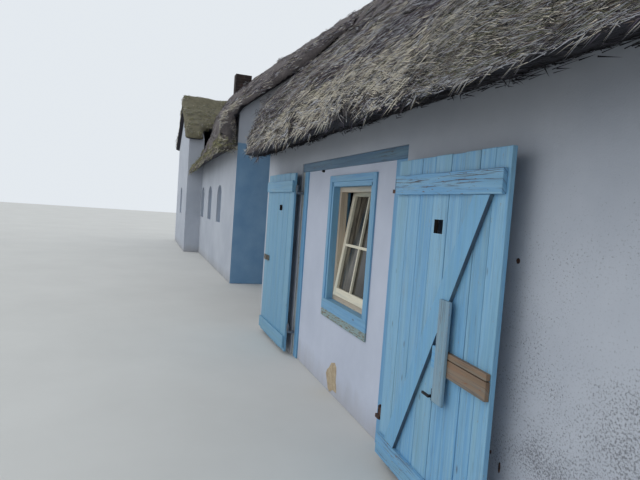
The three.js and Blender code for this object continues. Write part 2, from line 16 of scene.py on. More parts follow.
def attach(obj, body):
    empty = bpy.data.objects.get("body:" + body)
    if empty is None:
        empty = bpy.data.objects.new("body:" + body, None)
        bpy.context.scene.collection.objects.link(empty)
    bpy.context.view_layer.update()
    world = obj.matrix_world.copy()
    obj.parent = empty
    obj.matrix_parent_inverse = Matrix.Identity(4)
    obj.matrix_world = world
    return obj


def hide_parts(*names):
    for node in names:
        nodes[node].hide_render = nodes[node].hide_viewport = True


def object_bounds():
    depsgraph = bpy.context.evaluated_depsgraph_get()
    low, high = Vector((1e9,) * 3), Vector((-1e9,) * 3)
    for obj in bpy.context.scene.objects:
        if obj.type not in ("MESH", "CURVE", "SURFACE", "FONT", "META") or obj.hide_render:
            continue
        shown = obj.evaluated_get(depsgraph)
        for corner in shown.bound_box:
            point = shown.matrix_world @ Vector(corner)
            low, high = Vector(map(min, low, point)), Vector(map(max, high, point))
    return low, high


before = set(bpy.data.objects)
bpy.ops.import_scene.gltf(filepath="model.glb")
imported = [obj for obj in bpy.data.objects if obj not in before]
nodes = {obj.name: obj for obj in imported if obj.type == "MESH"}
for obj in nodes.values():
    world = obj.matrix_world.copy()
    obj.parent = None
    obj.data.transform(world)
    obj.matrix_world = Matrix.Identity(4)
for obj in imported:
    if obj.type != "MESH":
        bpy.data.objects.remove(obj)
cad_low, cad_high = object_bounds()
scene = bpy.context.scene
print("solids:", len(nodes), "box:", tuple(cad_low), tuple(cad_high))

# %% [markdown]
# ## Measures
# The house was laid out from the left edge of the old doorway, at the face of the near
# wall. Adding one shift turns such a place into the frame's own coordinates, so every
# size below can be read as on a plan: X along the front, Y into the house, Z up.

# %% The shift from the plan to the frame
PLAN_SHIFT = Vector((4.245, -2.8, 0.0))


def plan(x, y, z):
    """A place on the plan, in the frame's coordinates."""
    return Vector((x, y, z)) + PLAN_SHIFT


def plan_x(x):
    """A distance along the front, in the frame's coordinates."""
    return plan(x, 0, 0).x


def plan_y(y):
    """A depth into the house, in the frame's coordinates."""
    return plan(0, y, 0).y


print("doorway edge:", tuple(plan(0, 0, 0)))

# %% [markdown]
# ## Camera
# The camera stands close to the front wall and looks along it, so the near leaf is large
# and the far wing is tiny. Its place and turn were measured from the building's corners.
# A camera looks along its own -Z, so its matrix is built from the three directions:
# right, up, and backward.

# %% Camera
CAMERA_PLACE = plan(5.066, -1.509, 1.497)
HEADING, DIP, ROLL = (math.radians(a) for a in (18.970, 3.462, 4.110))
FOCAL_PIXELS, PICTURE_WIDTH, SENSOR_MM = 527.3, 640, 36
LENS_MM = FOCAL_PIXELS * SENSOR_MM / PICTURE_WIDTH

ahead = Vector((-math.cos(HEADING) * math.cos(DIP), math.sin(HEADING) * math.cos(DIP), -math.sin(DIP)))
level = Vector((math.sin(HEADING), math.cos(HEADING), 0))
above = level.cross(ahead)
right_hand = math.cos(ROLL) * level + math.sin(ROLL) * above
up_hand = -math.sin(ROLL) * level + math.cos(ROLL) * above

camera_data = bpy.data.cameras.new("portrait_camera")
camera_data.sensor_fit = "HORIZONTAL"
camera_data.sensor_width = SENSOR_MM
camera_data.lens = LENS_MM
camera_data.clip_end = 200
camera = bpy.data.objects.new("portrait_camera", camera_data)
turn = Matrix((right_hand, up_hand, -ahead)).transposed().to_4x4()
camera.matrix_world = Matrix.Translation(CAMERA_PLACE) @ turn
scene.collection.objects.link(camera)
scene.camera = camera
print("lens:", round(LENS_MM, 2), "mm")

# %% [markdown]
# ## Light
# The cottage stands in open shade, so nearly all its light is plain sky. A pale world
# gives that: it darkens a wall only close under the eave, where the thatch hides the sky.
# A weak sun lamp with a very wide angle adds a little shape to the boards.

# %% Light
SKY_DIRECTION = Vector((0.30, 0.80, -0.52))
LAMP_STRENGTH, LAMP_SPREAD, LAMP_COLOUR = 0.45, math.radians(70), (1.0, 0.975, 0.94)
WORLD_STRENGTH, WORLD_COLOUR = 0.90, (0.86, 0.91, 0.96, 1)

lamp_data = bpy.data.lights.new("wide_sky", "SUN")
lamp_data.energy = LAMP_STRENGTH
lamp_data.angle = LAMP_SPREAD
lamp_data.color = LAMP_COLOUR
lamp = bpy.data.objects.new("wide_sky", lamp_data)
lamp.rotation_mode = "QUATERNION"
lamp.rotation_quaternion = SKY_DIRECTION.to_track_quat("-Z", "Y")
scene.collection.objects.link(lamp)

world = bpy.data.worlds.new("pale_studio")
world.use_nodes = True
background = world.node_tree.nodes["Background"]
background.inputs["Color"].default_value = WORLD_COLOUR
background.inputs["Strength"].default_value = WORLD_STRENGTH
scene.world = world
scene.view_settings.view_transform = "Standard"
print("lamp points along", tuple(round(c, 2) for c in SKY_DIRECTION))

# %% [markdown]
# ## Short hands for materials
# A material is a tree of nodes, and every node takes a few lines of code. So some small
# functions do what comes back in each tree: add a node and feed it, mix two colours,
# stretch a factor, draw a cloud of noise. Colours are written as they look on a screen
# and turned into light values, because Blender mixes light.


# %% Colours, nodes and links
def tint(red, green, blue):
    """A colour as it looks on a screen, 0 to 255, turned into the light values that Blender mixes."""
    values = [c / 255 for c in (red, green, blue)]
    return tuple(c / 12.92 if c <= 0.04045 else ((c + 0.055) / 1.055) ** 2.4 for c in values) + (1.0,)


def new_material(name, roughness=0.8, **plain):
    """A material with its Principled shader, whose constant sockets are set right away."""
    material = bpy.data.materials.new(name)
    material.use_nodes = True
    shader = material.node_tree.nodes["Principled BSDF"]
    shader.inputs["Roughness"].default_value = roughness
    for socket, value in plain.items():
        shader.inputs[socket.replace("_", " ")].default_value = value
    return material, material.node_tree, shader


def feed(tree, socket, value):
    """Links a socket from another one, or sets its plain value."""
    if isinstance(value, bpy.types.NodeSocket):
        tree.links.new(value, socket)
    else:
        socket.default_value = value


def put(tree, kind, inputs=None, **settings):
    """Adds a node, gives it its settings and feeds its inputs."""
    made = tree.nodes.new(kind)
    for key, value in settings.items():
        setattr(made, key, value)
    for key, value in (inputs or {}).items():
        feed(tree, made.inputs[key], value)
    return made


def new_group(name, takes, gives):
    """An empty node group. takes and gives are lists of (name, kind, default)."""
    group = bpy.data.node_groups.new(name, "ShaderNodeTree")
    kinds = {"colour": "NodeSocketColor", "number": "NodeSocketFloat", "vector": "NodeSocketVector"}
    for way, sockets in (("INPUT", takes), ("OUTPUT", gives)):
        for label, kind, default in sockets:
            made = group.interface.new_socket(label, in_out=way, socket_type=kinds[kind])
            if default is not None:
                made.default_value = default
    return group, group.nodes.new("NodeGroupInput").outputs, group.nodes.new("NodeGroupOutput").inputs


print("middle grey as light:", round(tint(128, 128, 128)[0], 3))


# %% Factors, mixes and patterns
def ramp(tree, factor, low, high):
    """Stretches a factor, so that low becomes 0 and high becomes 1."""
    made = put(tree, "ShaderNodeMapRange", {"Value": factor, "From Min": low, "From Max": high})
    return made.outputs["Result"]


def mixed(tree, factor, first, second):
    """Mixes two colours, each a socket or a plain colour. A Mix node's colours are inputs 6 and 7."""
    return put(tree, "ShaderNodeMix", {0: factor, 6: first, 7: second}, data_type="RGBA").outputs[2]


def calculated(tree, kind, first, second):
    """One Math node, of the kind that its operation menu names."""
    return put(tree, "ShaderNodeMath", {0: first, 1: second}, operation=kind).outputs[0]


def plus(tree, first, second):
    """These three name the kinds of sum that come back most."""
    return calculated(tree, "ADD", first, second)


def minus(tree, first, second):
    return calculated(tree, "SUBTRACT", first, second)


def times(tree, first, second):
    return calculated(tree, "MULTIPLY", first, second)


def object_place(tree):
    """The place on the object, for a pattern on a piece that never bends."""
    return put(tree, "ShaderNodeTexCoord").outputs["Object"]


def part_of(tree, place, axis):
    """One coordinate of a place: axis 0 is X, 1 is Y and 2 is Z."""
    return put(tree, "ShaderNodeSeparateXYZ", {"Vector": place}).outputs[axis]


def side_mask(tree, place, axis, start, end):
    """0 at start and 1 at end, along one axis of the frame."""
    return ramp(tree, part_of(tree, place, axis), start, end)


def stretched(tree, place, scale, move=(0, 0, 0)):
    """The place, scaled along each axis, so that a pattern is drawn out along the others."""
    made = put(tree, "ShaderNodeMapping", {"Vector": place, "Scale": scale, "Location": move})
    return made.outputs["Vector"]


def cloud(tree, place, scale, detail=3.0, rough=0.55, warp=0.0):
    """Noise from 0 to 1. scale is how often it repeats, detail how many finer layers lie on it."""
    made = put(tree, "ShaderNodeTexNoise", {
        "Vector": place, "Scale": scale, "Detail": detail, "Roughness": rough, "Distortion": warp})
    return made.outputs["Fac"]


def add_bump(tree, shader, height, strength, depth, **settings):
    """Bumps a shader's normal by a height. depth is in metres."""
    inputs = {"Strength": strength, "Distance": depth, "Height": height}
    feed(tree, shader.inputs["Normal"], put(tree, "ShaderNodeBump", inputs, **settings).outputs["Normal"])


print("helpers ready")

# %% [markdown]
# ## Paint on old boards
# The leaves, the casing and the lintel are softwood boards with thin blue paint. The
# brush and the grain both run along a board, so every pattern is stretched that way.
# Each board also has a tone of its own, some knots, and chips where grey wood shows.
# Boards carry a map called "grain", across and along in metres, and a number "board_tone",
# so the pattern follows a board however it lies. One node group makes all of it.

# %% Group: painted_board
painted_board, takes, gives = new_group(
    "painted_board",
    [("Grain", "vector", None), ("Tone", "number", 0.5), ("Paint", "colour", None),
     ("Pale Paint", "colour", None), ("Bare Wood", "colour", None), ("Wear", "number", 0.3),
     ("Cracks", "number", 0.1)],
    [("Colour", "colour", None), ("Height", "number", None), ("Roughness", "number", None)])
t = painted_board


def grained(across, along, detail, rough=0.55, warp=0.0, move=(0, 0, 0)):
    """Noise that repeats so many times a metre across the board, and so many along it."""
    stretch = stretched(painted_board, takes["Grain"], (across, along, 1), move)
    return cloud(painted_board, stretch, 1.0, detail, rough, warp)


# Brush streaks, the board's own tone, and blotches where the paint is thin.
streak = grained(46, 1.3, 7.0, 0.68, 0.4)
fine = grained(210, 5, 3.0, 0.6)
blotch = grained(9, 2.3, 4.0, 0.6)
coat = mixed(t, ramp(t, streak, 0.37, 0.69), takes["Paint"], takes["Pale Paint"])
toned = plus(t, takes["Tone"], minus(t, blotch, 0.5))
coat = mixed(t, ramp(t, toned, 0.0, 1.6), coat, takes["Pale Paint"])
coat = mixed(t, ramp(t, blotch, 0.60, 0.95), coat, mixed(t, 0.5, takes["Bare Wood"], takes["Pale Paint"]))

# Dark lines of the grain, and a greenish film.
dark_line = ramp(t, fine, 0.58, 0.76)
coat = mixed(t, times(t, dark_line, 0.45), coat, tint(56, 84, 110))
greened = ramp(t, grained(16, 0.9, 3.0, 0.5, move=(5, 2, 0)), 0.50, 0.72)
coat = mixed(t, times(t, greened, 0.35), coat, tint(112, 150, 158))

# Open cracks, which keep to some zones of a board.
crack = ramp(t, grained(130, 2.6, 3.0, 0.62, 1.2, (1, 4, 0)), 0.545, 0.595)
crack_zone = ramp(t, grained(14, 2.2, 2.0, move=(7, 0, 0)), 0.44, 0.54)
crack = times(t, times(t, crack, crack_zone), takes["Cracks"])
coat = mixed(t, crack, coat, tint(62, 48, 50))

# Knots: the middle of a Voronoi cell, in about a third of the cells.
knot = put(t, "ShaderNodeTexVoronoi", {
    "Vector": stretched(t, takes["Grain"], (9.0, 3.2, 1)), "Scale": 1.0, "Randomness": 1.0})
knot_mask = ramp(t, knot.outputs["Distance"], 0.085, 0.03)
knot_chance = put(t, "ShaderNodeSeparateColor", {"Color": knot.outputs["Color"]}).outputs[0]
knot_dark = times(t, knot_mask, ramp(t, knot_chance, 0.62, 0.66))

# Chips down to the wood: the more wear, the lower the edge that the noise has to pass.
chip_noise = grained(95, 16, 4.0, 0.7, move=(3, 1, 0))
chip_edge = minus(t, 0.74, times(t, takes["Wear"], 0.24))
chip = ramp(t, minus(t, chip_noise, chip_edge), 0.0, 0.035)
coat = mixed(t, chip, coat, takes["Bare Wood"])
coat = mixed(t, times(t, knot_dark, 0.7), coat, tint(66, 62, 66))

feed(t, gives["Colour"], coat)
feed(t, gives["Height"], plus(t, times(t, fine, 0.35), times(t, chip, -0.5)))
feed(t, gives["Roughness"], plus(t, 0.55, times(t, chip, 0.3)))
print("group nodes:", len(painted_board.nodes))

# %% [markdown]
# The group goes into one material for each kind of board. They differ in their two paint
# colours, in the wood that shows through, and in how chipped and cracked they are. The
# colours are given as they look on a screen.


# %% Materials of the boards
def board_material(name, paint, pale, bare, wear, bump=0.25, cracks=0.12):
    """wear, from 0 to 1, sets how much is chipped off, and cracks how dark the cracks are."""
    material, tree, shader = new_material(name)
    group = put(tree, "ShaderNodeGroup", {
        "Grain": put(tree, "ShaderNodeUVMap", uv_map="grain").outputs["UV"],
        "Tone": put(tree, "ShaderNodeAttribute", attribute_name="board_tone").outputs["Fac"],
        "Paint": tint(*paint), "Pale Paint": tint(*pale), "Bare Wood": tint(*bare),
        "Wear": wear, "Cracks": cracks}, node_tree=painted_board)
    feed(tree, shader.inputs["Base Color"], group.outputs["Colour"])
    feed(tree, shader.inputs["Roughness"], group.outputs["Roughness"])
    add_bump(tree, shader, group.outputs["Height"], bump, 0.004)
    return material


GREY_WOOD = (142, 138, 128)
leaf_blue = board_material("leaf_blue", (92, 154, 202), (140, 184, 208), GREY_WOOD, 0.35, cracks=0.2)
far_leaf_blue = board_material("far_leaf_blue", (84, 142, 184), (120, 166, 190), GREY_WOOD, 0.3)
worn_leaf_blue = board_material(
    "worn_leaf_blue", (96, 156, 202), (136, 178, 202), (110, 98, 92), 0.5, cracks=1.0)
foot_blue = board_material("foot_blue", (96, 156, 202), (128, 174, 202), (132, 108, 88), 0.55, cracks=0.6)
brace_blue = board_material("brace_blue", (92, 156, 204), (126, 176, 206), GREY_WOOD, 0.35)
batten_blue = board_material(
    "batten_blue", (112, 146, 170), (142, 166, 178), (138, 136, 130), 0.55, bump=0.5, cracks=0.5)
frame_blue = board_material("frame_blue", (62, 96, 124), (88, 122, 148), (100, 102, 100), 0.4, cracks=0.5)
casing_blue = board_material("casing_blue", (88, 146, 194), (122, 170, 200), GREY_WOOD, 0.3)
shaded_blue = board_material("shaded_blue", (54, 68, 84), (74, 92, 110), (70, 66, 64), 0.4)
sill_worn = board_material("sill_worn", (112, 148, 160), (140, 160, 158), (124, 112, 96), 0.9, bump=0.5)
worn_post = board_material(
    "worn_post", (132, 140, 144), (186, 188, 184), (112, 104, 96), 0.6, bump=0.5, cracks=0.5)
bare_board = board_material(
    "bare_board", (104, 84, 68), (138, 114, 90), (150, 84, 52), 0.35, bump=0.6, cracks=0.8)
cream_board = board_material("cream_board", (212, 204, 182), (230, 224, 204), (164, 150, 128), 0.3)
beige_board = board_material("beige_board", (176, 158, 138), (200, 186, 166), (120, 108, 94), 0.4)
print("materials so far:", len(bpy.data.materials))

# %% [markdown]
# ## Limewash
# The walls are rubble or clay under many coats of limewash, so they undulate, and the
# wash is blotchy with specks of dirt. Object coordinates carry the pattern, because a
# wall piece never bends. Rain splashes the foot, so a mask of height darkens it there.

# %% Group: limewash
limewash_group, takes, gives = new_group(
    "limewash",
    [("Place", "vector", None), ("Wash", "colour", None), ("Shade", "colour", None),
     ("Specks", "number", 0.4), ("Eave Shade", "number", 0.0)],
    [("Colour", "colour", None), ("Height", "number", None)])
t = limewash_group

# Wide blotches, and the marks of the brush over them.
wide = cloud(t, takes["Place"], 1.3, 4.0, 0.6)
brushed = cloud(t, stretched(t, takes["Place"], (7, 7, 2.2)), 1.0, 5.0, 0.65)
coat = mixed(t, ramp(t, wide, 0.30, 0.72), takes["Shade"], takes["Wash"])
coat = mixed(t, times(t, ramp(t, brushed, 0.35, 0.8), 0.35), coat, takes["Shade"])

# Specks of dirt, more of them in some patches.
grit = cloud(t, takes["Place"], 105.0, 5.0, 0.8)
patchy = ramp(t, cloud(t, takes["Place"], 2.4, 3.0), 0.38, 0.62)
grit_share = times(t, takes["Specks"], plus(t, times(t, patchy, 0.5), 0.5))
grit_edge = minus(t, 0.68, times(t, grit_share, 0.13))
speck = ramp(t, minus(t, grit, grit_edge), 0.0, 0.06)
coat = mixed(t, times(t, speck, 0.75), coat, tint(92, 92, 98))

# Earth splashed on the foot, and painted shade close under a low eave, where the thatch hides the sky.
height_up = part_of(t, takes["Place"], 2)
splash = ramp(t, plus(t, height_up, times(t, brushed, 0.30)), 0.36, 0.10)
coat = mixed(t, times(t, splash, 0.42), coat, tint(128, 116, 100))
eave_shade = ramp(t, plus(t, height_up, times(t, wide, 0.25)), 1.86, 2.18)
low_eave = ramp(t, height_up, 2.40, 2.30)
eave_shade = times(t, times(t, eave_shade, low_eave), takes["Eave Shade"])
coat = mixed(t, times(t, eave_shade, 0.7), coat, tint(92, 90, 92))

uneven = plus(t, times(t, wide, 2.6), times(t, grit, 0.22))
feed(t, gives["Colour"], coat)
feed(t, gives["Height"], plus(t, uneven, times(t, brushed, 0.5)))
print("group nodes:", len(limewash_group.nodes))

# %% [markdown]
# Most walls carry the plain wash. The next block's gable is painted blue low down, and
# the near wall is dirty at its far foot, so a wall's material may change its colour or
# its specks by place before it is done.


# %% Limewash materials
EXTRA_SPECKS = 1.35


def wall_material(name, wash, shade, specks, extra=None, dirtier=None, eave_shade_share=0.0):
    """extra may repaint the colour: it takes the tree, the place and the colour, and gives a colour.
    dirtier may add specks: it takes the tree and the place, and gives a factor."""
    material, tree, shader = new_material(name, 0.92)
    place = object_place(tree)
    if dirtier:
        specks = plus(tree, times(tree, dirtier(tree, place), EXTRA_SPECKS), specks)
    inputs = {"Place": place, "Wash": wash, "Shade": shade, "Specks": specks, "Eave Shade": eave_shade_share}
    group = put(tree, "ShaderNodeGroup", inputs, node_tree=limewash_group)
    colour = group.outputs["Colour"]
    if extra:
        colour = extra(tree, place, colour)
    feed(tree, shader.inputs["Base Color"], colour)
    add_bump(tree, shader, group.outputs["Height"], 0.35, 0.02)
    return material


def blue_below(tree, place, colour):
    """The gable's blue coat, which stops at a brushed line 2.56 m up."""
    blotches = ramp(tree, cloud(tree, place, 3.0, 4.0), 0.3, 0.7)
    blue = mixed(tree, blotches, tint(108, 146, 180), tint(126, 160, 190))
    wobble = plus(tree, part_of(tree, place, 2), times(tree, cloud(tree, place, 6.0), 0.05))
    return mixed(tree, ramp(tree, wobble, 2.60, 2.585), colour, blue)


def blue_end(tree, place, colour):
    """The next block's front wall is white, but its end face carries the gable's blue coat."""
    end_face = side_mask(tree, place, 0, plan_x(-4.5508), plan_x(-4.5504))
    return mixed(tree, end_face, colour, blue_below(tree, place, colour))


def low_near_end(tree, place):
    """The foot of the wall beside the right leaf, where mud has splashed up for years."""
    along = side_mask(tree, place, 0, plan_x(2.6), plan_x(3.4))
    return times(tree, along, side_mask(tree, place, 2, 1.9, 1.0))


WASH, WASH_SHADE = tint(191, 196, 205), tint(170, 176, 187)
limewash = wall_material("limewash", WASH, WASH_SHADE, 0.2)
# The two front walls under the low eave get a share of painted shade close under it.
front_limewash = wall_material("front_limewash", WASH, WASH_SHADE, 0.2, eave_shade_share=0.25)
rough_limewash = wall_material("rough_limewash", WASH, WASH_SHADE, 0.3, dirtier=low_near_end, eave_shade_share=0.25)
blue_ended_wall = wall_material("blue_ended_wall", WASH, WASH_SHADE, 0.2, extra=blue_end)
panel_limewash = wall_material("panel_limewash", tint(199, 205, 220), tint(182, 189, 205), 0.1)
gable_coat = wall_material("gable_coat", tint(205, 205, 210), tint(190, 190, 197), 0.2, extra=blue_below)
print("materials so far:", len(bpy.data.materials))

# %% [markdown]
# ## Skin and stems of the thatch
# Weathered reed is grey outside and brown where it is broken. The skin under the loose straws gets a mottled
# dark material, and the straws themselves come in a few plain tones, mixed by given shares as they are laid,
# as real ones differ stem by stem.

# %% Thatch skin and straw tones
STEM_DIRECTIONS = ((-0.7, -0.5, -0.5), (-0.95, -0.2, -0.2), (0.4, -0.65, -0.65), (0.3, 0.1, -0.95))
LEVEL_STEMS = ((1.0, 0.1, 0.05), (1.0, -0.12, -0.06))
STEM_REPEATS = (150, 9)


def streaks_along(tree, place, direction, fine, long):
    """Noise drawn out along one direction in space: fine repeats a metre across it, long repeats along it."""
    frame_of = Vector(direction).normalized().to_track_quat("Z", "Y").to_euler()
    inputs = {"Vector": place, "Rotation": frame_of, "Scale": (1 / fine, 1 / fine, 1 / long)}
    turned = put(tree, "ShaderNodeMapping", inputs, vector_type="TEXTURE")
    return cloud(tree, turned.outputs["Vector"], 1.0, 2.0, 0.5)


def thatch_skin(name, dark, light, directions=STEM_DIRECTIONS, weathered=None):
    """Heaped stems: streaks in a few directions, of which the strongest shows at each spot.
    weathered is the colour that the stems turn to toward the near end of the house."""
    material, tree, shader = new_material(name, 0.97)
    place = object_place(tree)
    stems = streaks_along(tree, place, directions[0], *STEM_REPEATS)
    for direction in directions[1:]:
        stems = calculated(tree, "MAXIMUM", stems, streaks_along(tree, place, direction, *STEM_REPEATS))
    clump = cloud(tree, place, 7.0, 5.0, 0.7)
    colour = mixed(tree, ramp(tree, stems, 0.46, 0.72), dark, light)
    colour = mixed(tree, ramp(tree, clump, 0.36, 0.66), mixed(tree, 0.5, colour, dark), colour)
    if weathered:
        near_end = side_mask(tree, place, 0, plan_x(0.4), plan_x(3.2))
        dull = mixed(tree, 0.5, dark, weathered)
        bleached_stems = mixed(tree, ramp(tree, stems, 0.50, 0.70), dull, weathered)
        colour = mixed(tree, near_end, colour, bleached_stems)
    feed(tree, shader.inputs["Base Color"], colour)
    add_bump(tree, shader, plus(tree, times(tree, clump, 0.8), times(tree, stems, 0.9)), 0.9, 0.03)
    return material


reed_skin = thatch_skin("reed_skin", tint(66, 62, 67), tint(148, 139, 135), weathered=tint(100, 96, 98))
sunlit_skin = thatch_skin("sunlit_skin", tint(78, 74, 60), tint(158, 152, 126))
# The near-black underside skin is painted shade, for the faces that look down.
shaded_reed_underside = thatch_skin("shaded_reed_underside", tint(15, 14, 20), tint(72, 68, 82), LEVEL_STEMS)
# The near-black tone among the straws is painted shade: it stands for the dark gaps between stems and the
# shade under the lip.
straw_tones = {
    "pale": tint(214, 206, 190), "grey": tint(154, 153, 154), "brown": tint(114, 100, 92),
    "umber": tint(70, 63, 62), "moss": tint(112, 113, 88), "silver": tint(190, 191, 198),
    "plum": tint(90, 82, 96), "soot": tint(28, 27, 33), "lichen": tint(156, 153, 106)}
straw_materials = [new_material("straw_" + label, 0.85, Base_Color=colour)[0]
                   for label, colour in straw_tones.items()]
print("straw tones:", list(straw_tones))

# %% [markdown]
# ## Iron, plaster, brick, glass and earth
# Old iron, bare plaster and trodden earth each wander between two colours, so one function makes them all.
# The chimney's bricks are too small to model and come from a brick pattern, wrapped round its corners. The
# glass is dark, with pale upright streaks over its left part.


# %% Finishes that wander between two colours
def spotted(name, first, second, scale, roughness, bump, **plain):
    """A finish that wanders between two colours, with a bump of its own."""
    material, tree, shader = new_material(name, roughness, **plain)
    wander = cloud(tree, object_place(tree), scale, 4.0, 0.65)
    feed(tree, shader.inputs["Base Color"], mixed(tree, ramp(tree, wander, 0.35, 0.68), first, second))
    add_bump(tree, shader, wander, bump, 0.004)
    return material


rusty_iron = spotted("rusty_iron", tint(48, 44, 44), tint(104, 68, 48), 60.0, 0.7, 0.5, Metallic=0.4)
painted_iron = spotted("painted_iron", tint(104, 122, 138), tint(86, 78, 74), 60.0, 0.7, 0.5)
worn_iron = spotted("worn_iron", tint(112, 108, 98), tint(70, 62, 58), 50.0, 0.8, 0.5)
black_iron = spotted("black_iron", tint(30, 30, 32), tint(54, 50, 50), 60.0, 0.55, 0.4, Metallic=0.6)
earth_floor = spotted("earth_floor", tint(136, 126, 112), tint(160, 150, 136), 5.0, 0.95, 0.4)
bare_plaster = spotted("bare_plaster", tint(188, 172, 146), tint(160, 142, 116), 30.0, 0.95, 0.6)
# The near-black finish inside the holes of the leaves is painted shade.
painted_hole_shade = spotted("painted_hole_shade", tint(26, 22, 20), tint(44, 34, 28), 30.0, 0.9, 0.2)
far_pane = spotted("far_pane", tint(34, 40, 46), tint(60, 68, 76), 2.0, 0.12, 0.02)
weathered_window = spotted("weathered_window", tint(92, 140, 184), tint(120, 160, 190), 12.0, 0.6, 0.3)
studio_floor = spotted("studio_floor", tint(208, 207, 203), tint(214, 213, 209), 0.7, 0.95, 0.02)
print("materials so far:", len(bpy.data.materials))


# %% Brick and glass
def brick_material():
    """Sooty bricks. X plus Y runs on round a corner, so the rows meet there."""
    material, tree, shader = new_material("sooty_brick", 0.95)
    place = object_place(tree)
    parts = put(tree, "ShaderNodeSeparateXYZ", {"Vector": place})
    around = plus(tree, parts.outputs["X"], parts.outputs["Y"])
    flat = put(tree, "ShaderNodeCombineXYZ", {"X": around, "Y": parts.outputs["Z"]}).outputs["Vector"]
    bricks = put(tree, "ShaderNodeTexBrick", {
        "Vector": flat, "Color1": tint(62, 44, 40), "Color2": tint(44, 34, 34), "Mortar": tint(70, 66, 62),
        "Scale": 1.0, "Mortar Size": 0.008, "Brick Width": 0.225, "Row Height": 0.075})
    soot = ramp(tree, cloud(tree, place, 6.0), 0.35, 0.7)
    sooty = mixed(tree, soot, bricks.outputs["Color"], tint(32, 28, 28))
    feed(tree, shader.inputs["Base Color"], sooty)
    add_bump(tree, shader, bricks.outputs["Fac"], 0.6, 0.006, invert=True)
    return material


def pane_material():
    """Dark glass with pale upright streaks over its left part."""
    material, tree, shader = new_material("window_pane", 0.12, Specular_IOR_Level=0.35)
    place = object_place(tree)
    upright_streaks = cloud(tree, stretched(tree, place, (26, 26, 1.2)), 1.0, 3.0, 0.5)
    cover = side_mask(tree, place, 0, plan_x(1.50), plan_x(1.10))
    pale_streaks = mixed(tree, ramp(tree, upright_streaks, 0.38, 0.68), tint(34, 32, 30), tint(104, 98, 86))
    feed(tree, shader.inputs["Base Color"], mixed(tree, cover, tint(20, 22, 24), pale_streaks))
    return material


sooty_brick = brick_material()
window_pane = pane_material()
print("materials in all:", len(bpy.data.materials))

# %% [markdown]
# ## A floor to stand on
# The house stands on one wide square, which isn't part of it. The square lies a little
# low, so that it can't flicker against the undersides of the walls.

# %% Studio floor
FLOOR_HALF, FLOOR_DROP = 45, 0.002


def mesh_of(name, bm):
    """The finished mesh of a bmesh, which is freed."""
    mesh = bpy.data.meshes.new(name)
    bm.to_mesh(mesh)
    bm.free()
    return mesh


floor_square = bmesh.new()
bmesh.ops.create_grid(floor_square, x_segments=1, y_segments=1, size=FLOOR_HALF)
floor = bpy.data.objects.new("studio_floor", mesh_of("studio_floor", floor_square))
floor.data.transform(Matrix.Translation((0, 0, -FLOOR_DROP)))
floor.data.materials.append(studio_floor)
scene.collection.objects.link(floor)
print("floor width:", floor.dimensions.x)

# %% [markdown]
# ## Finishes on the plain solids
# A wall, a floor or a chimney already has the right shape, so its solid stays and only
# its material slots change. The leaves, timbers and roofs get none here, because finer
# pieces stand in for them later.


# %% Finish of the solids that stay
def wear(node_name, material):
    """Gives all of a solid's faces one material."""
    for slot in nodes[node_name].material_slots:
        slot.material = material


for node_name in nodes:
    if "wall" in node_name:
        wear(node_name, limewash)
    elif node_name.endswith("_floor"):
        wear(node_name, earth_floor)
    elif "window" in node_name:
        wear(node_name, weathered_window)
    elif "pintle" in node_name:
        wear(node_name, rusty_iron if "right" in node_name else painted_iron)
    elif "hook" in node_name:
        wear(node_name, black_iron)
own_finishes = {
    "near_front_wall_right": rough_limewash, "near_front_wall_left": front_limewash,
    "near_front_wall_over_doorway": front_limewash, "next_gable_wall": gable_coat,
    "next_front_wall": blue_ended_wall, "chimney": sooty_brick, "infill_panel": panel_limewash,
    "window_glass": window_pane}
for node_name, material in own_finishes.items():
    wear(node_name, material)
print("solids with a finish of their own:", len(own_finishes), "of", len(nodes))

# %% [markdown]
# ## A way to lay boards
# Each board is a cube, stretched to its two corners, with its edges eased by a bevel. It
# gets its "grain" map and its tone while it is still alone, and then it joins the others
# of its piece. A piece's mesh ends in place, with its object at the origin.

# %% One board
GRAIN_SHIFT = 40
board_draw = random.Random(7)


def stamp_grain(bm, along, tone):
    """Writes the grain map, across and along the board in metres, and the board's tone."""
    grain = bm.loops.layers.uv.new("grain")
    tones = bm.verts.layers.float.new("board_tone")
    across = [axis for axis in range(3) if axis != along]
    shift = Vector((board_draw.uniform(0, GRAIN_SHIFT), board_draw.uniform(0, GRAIN_SHIFT)))
    for vert in bm.verts:
        vert[tones] = tone
    for face in bm.faces:
        for corner in face.loops:
            place = corner.vert.co
            corner[grain].uv = Vector((place[across[0]] + place[across[1]], place[along])) + shift


def board(low, high, along=2, ease=0.003, tone=None, shape=None):
    """One board between two corners. shape may cut or bend its mesh before the grain is stamped."""
    low, high = Vector(low), Vector(high)
    bm = bmesh.new()
    bmesh.ops.create_cube(bm, size=1.0)
    bmesh.ops.scale(bm, vec=high - low, verts=bm.verts[:])
    bmesh.ops.translate(bm, vec=(low + high) / 2, verts=bm.verts[:])
    bmesh.ops.bevel(bm, geom=bm.edges[:], offset=ease, offset_type="OFFSET", segments=2,
                    profile=0.5, affect="EDGES", clamp_overlap=True, material=-1)
    if shape:
        shape(bm)
    stamp_grain(bm, along, board_draw.random() if tone is None else tone)
    return mesh_of("board", bm)


print("each board's grain starts up to", GRAIN_SHIFT, "m along")


# %% Pieces from boards
def finished(name, bm, materials, body, stands_for=()):
    """Makes a bmesh into a piece that rides on its body."""
    mesh = mesh_of(name, bm)
    for material in materials:
        mesh.materials.append(material)
    piece = bpy.data.objects.new(name, mesh)
    scene.collection.objects.link(piece)
    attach(piece, body)
    if stands_for:
        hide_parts(*stands_for)
    print(f"{name}: {len(mesh.polygons)} faces")
    return piece


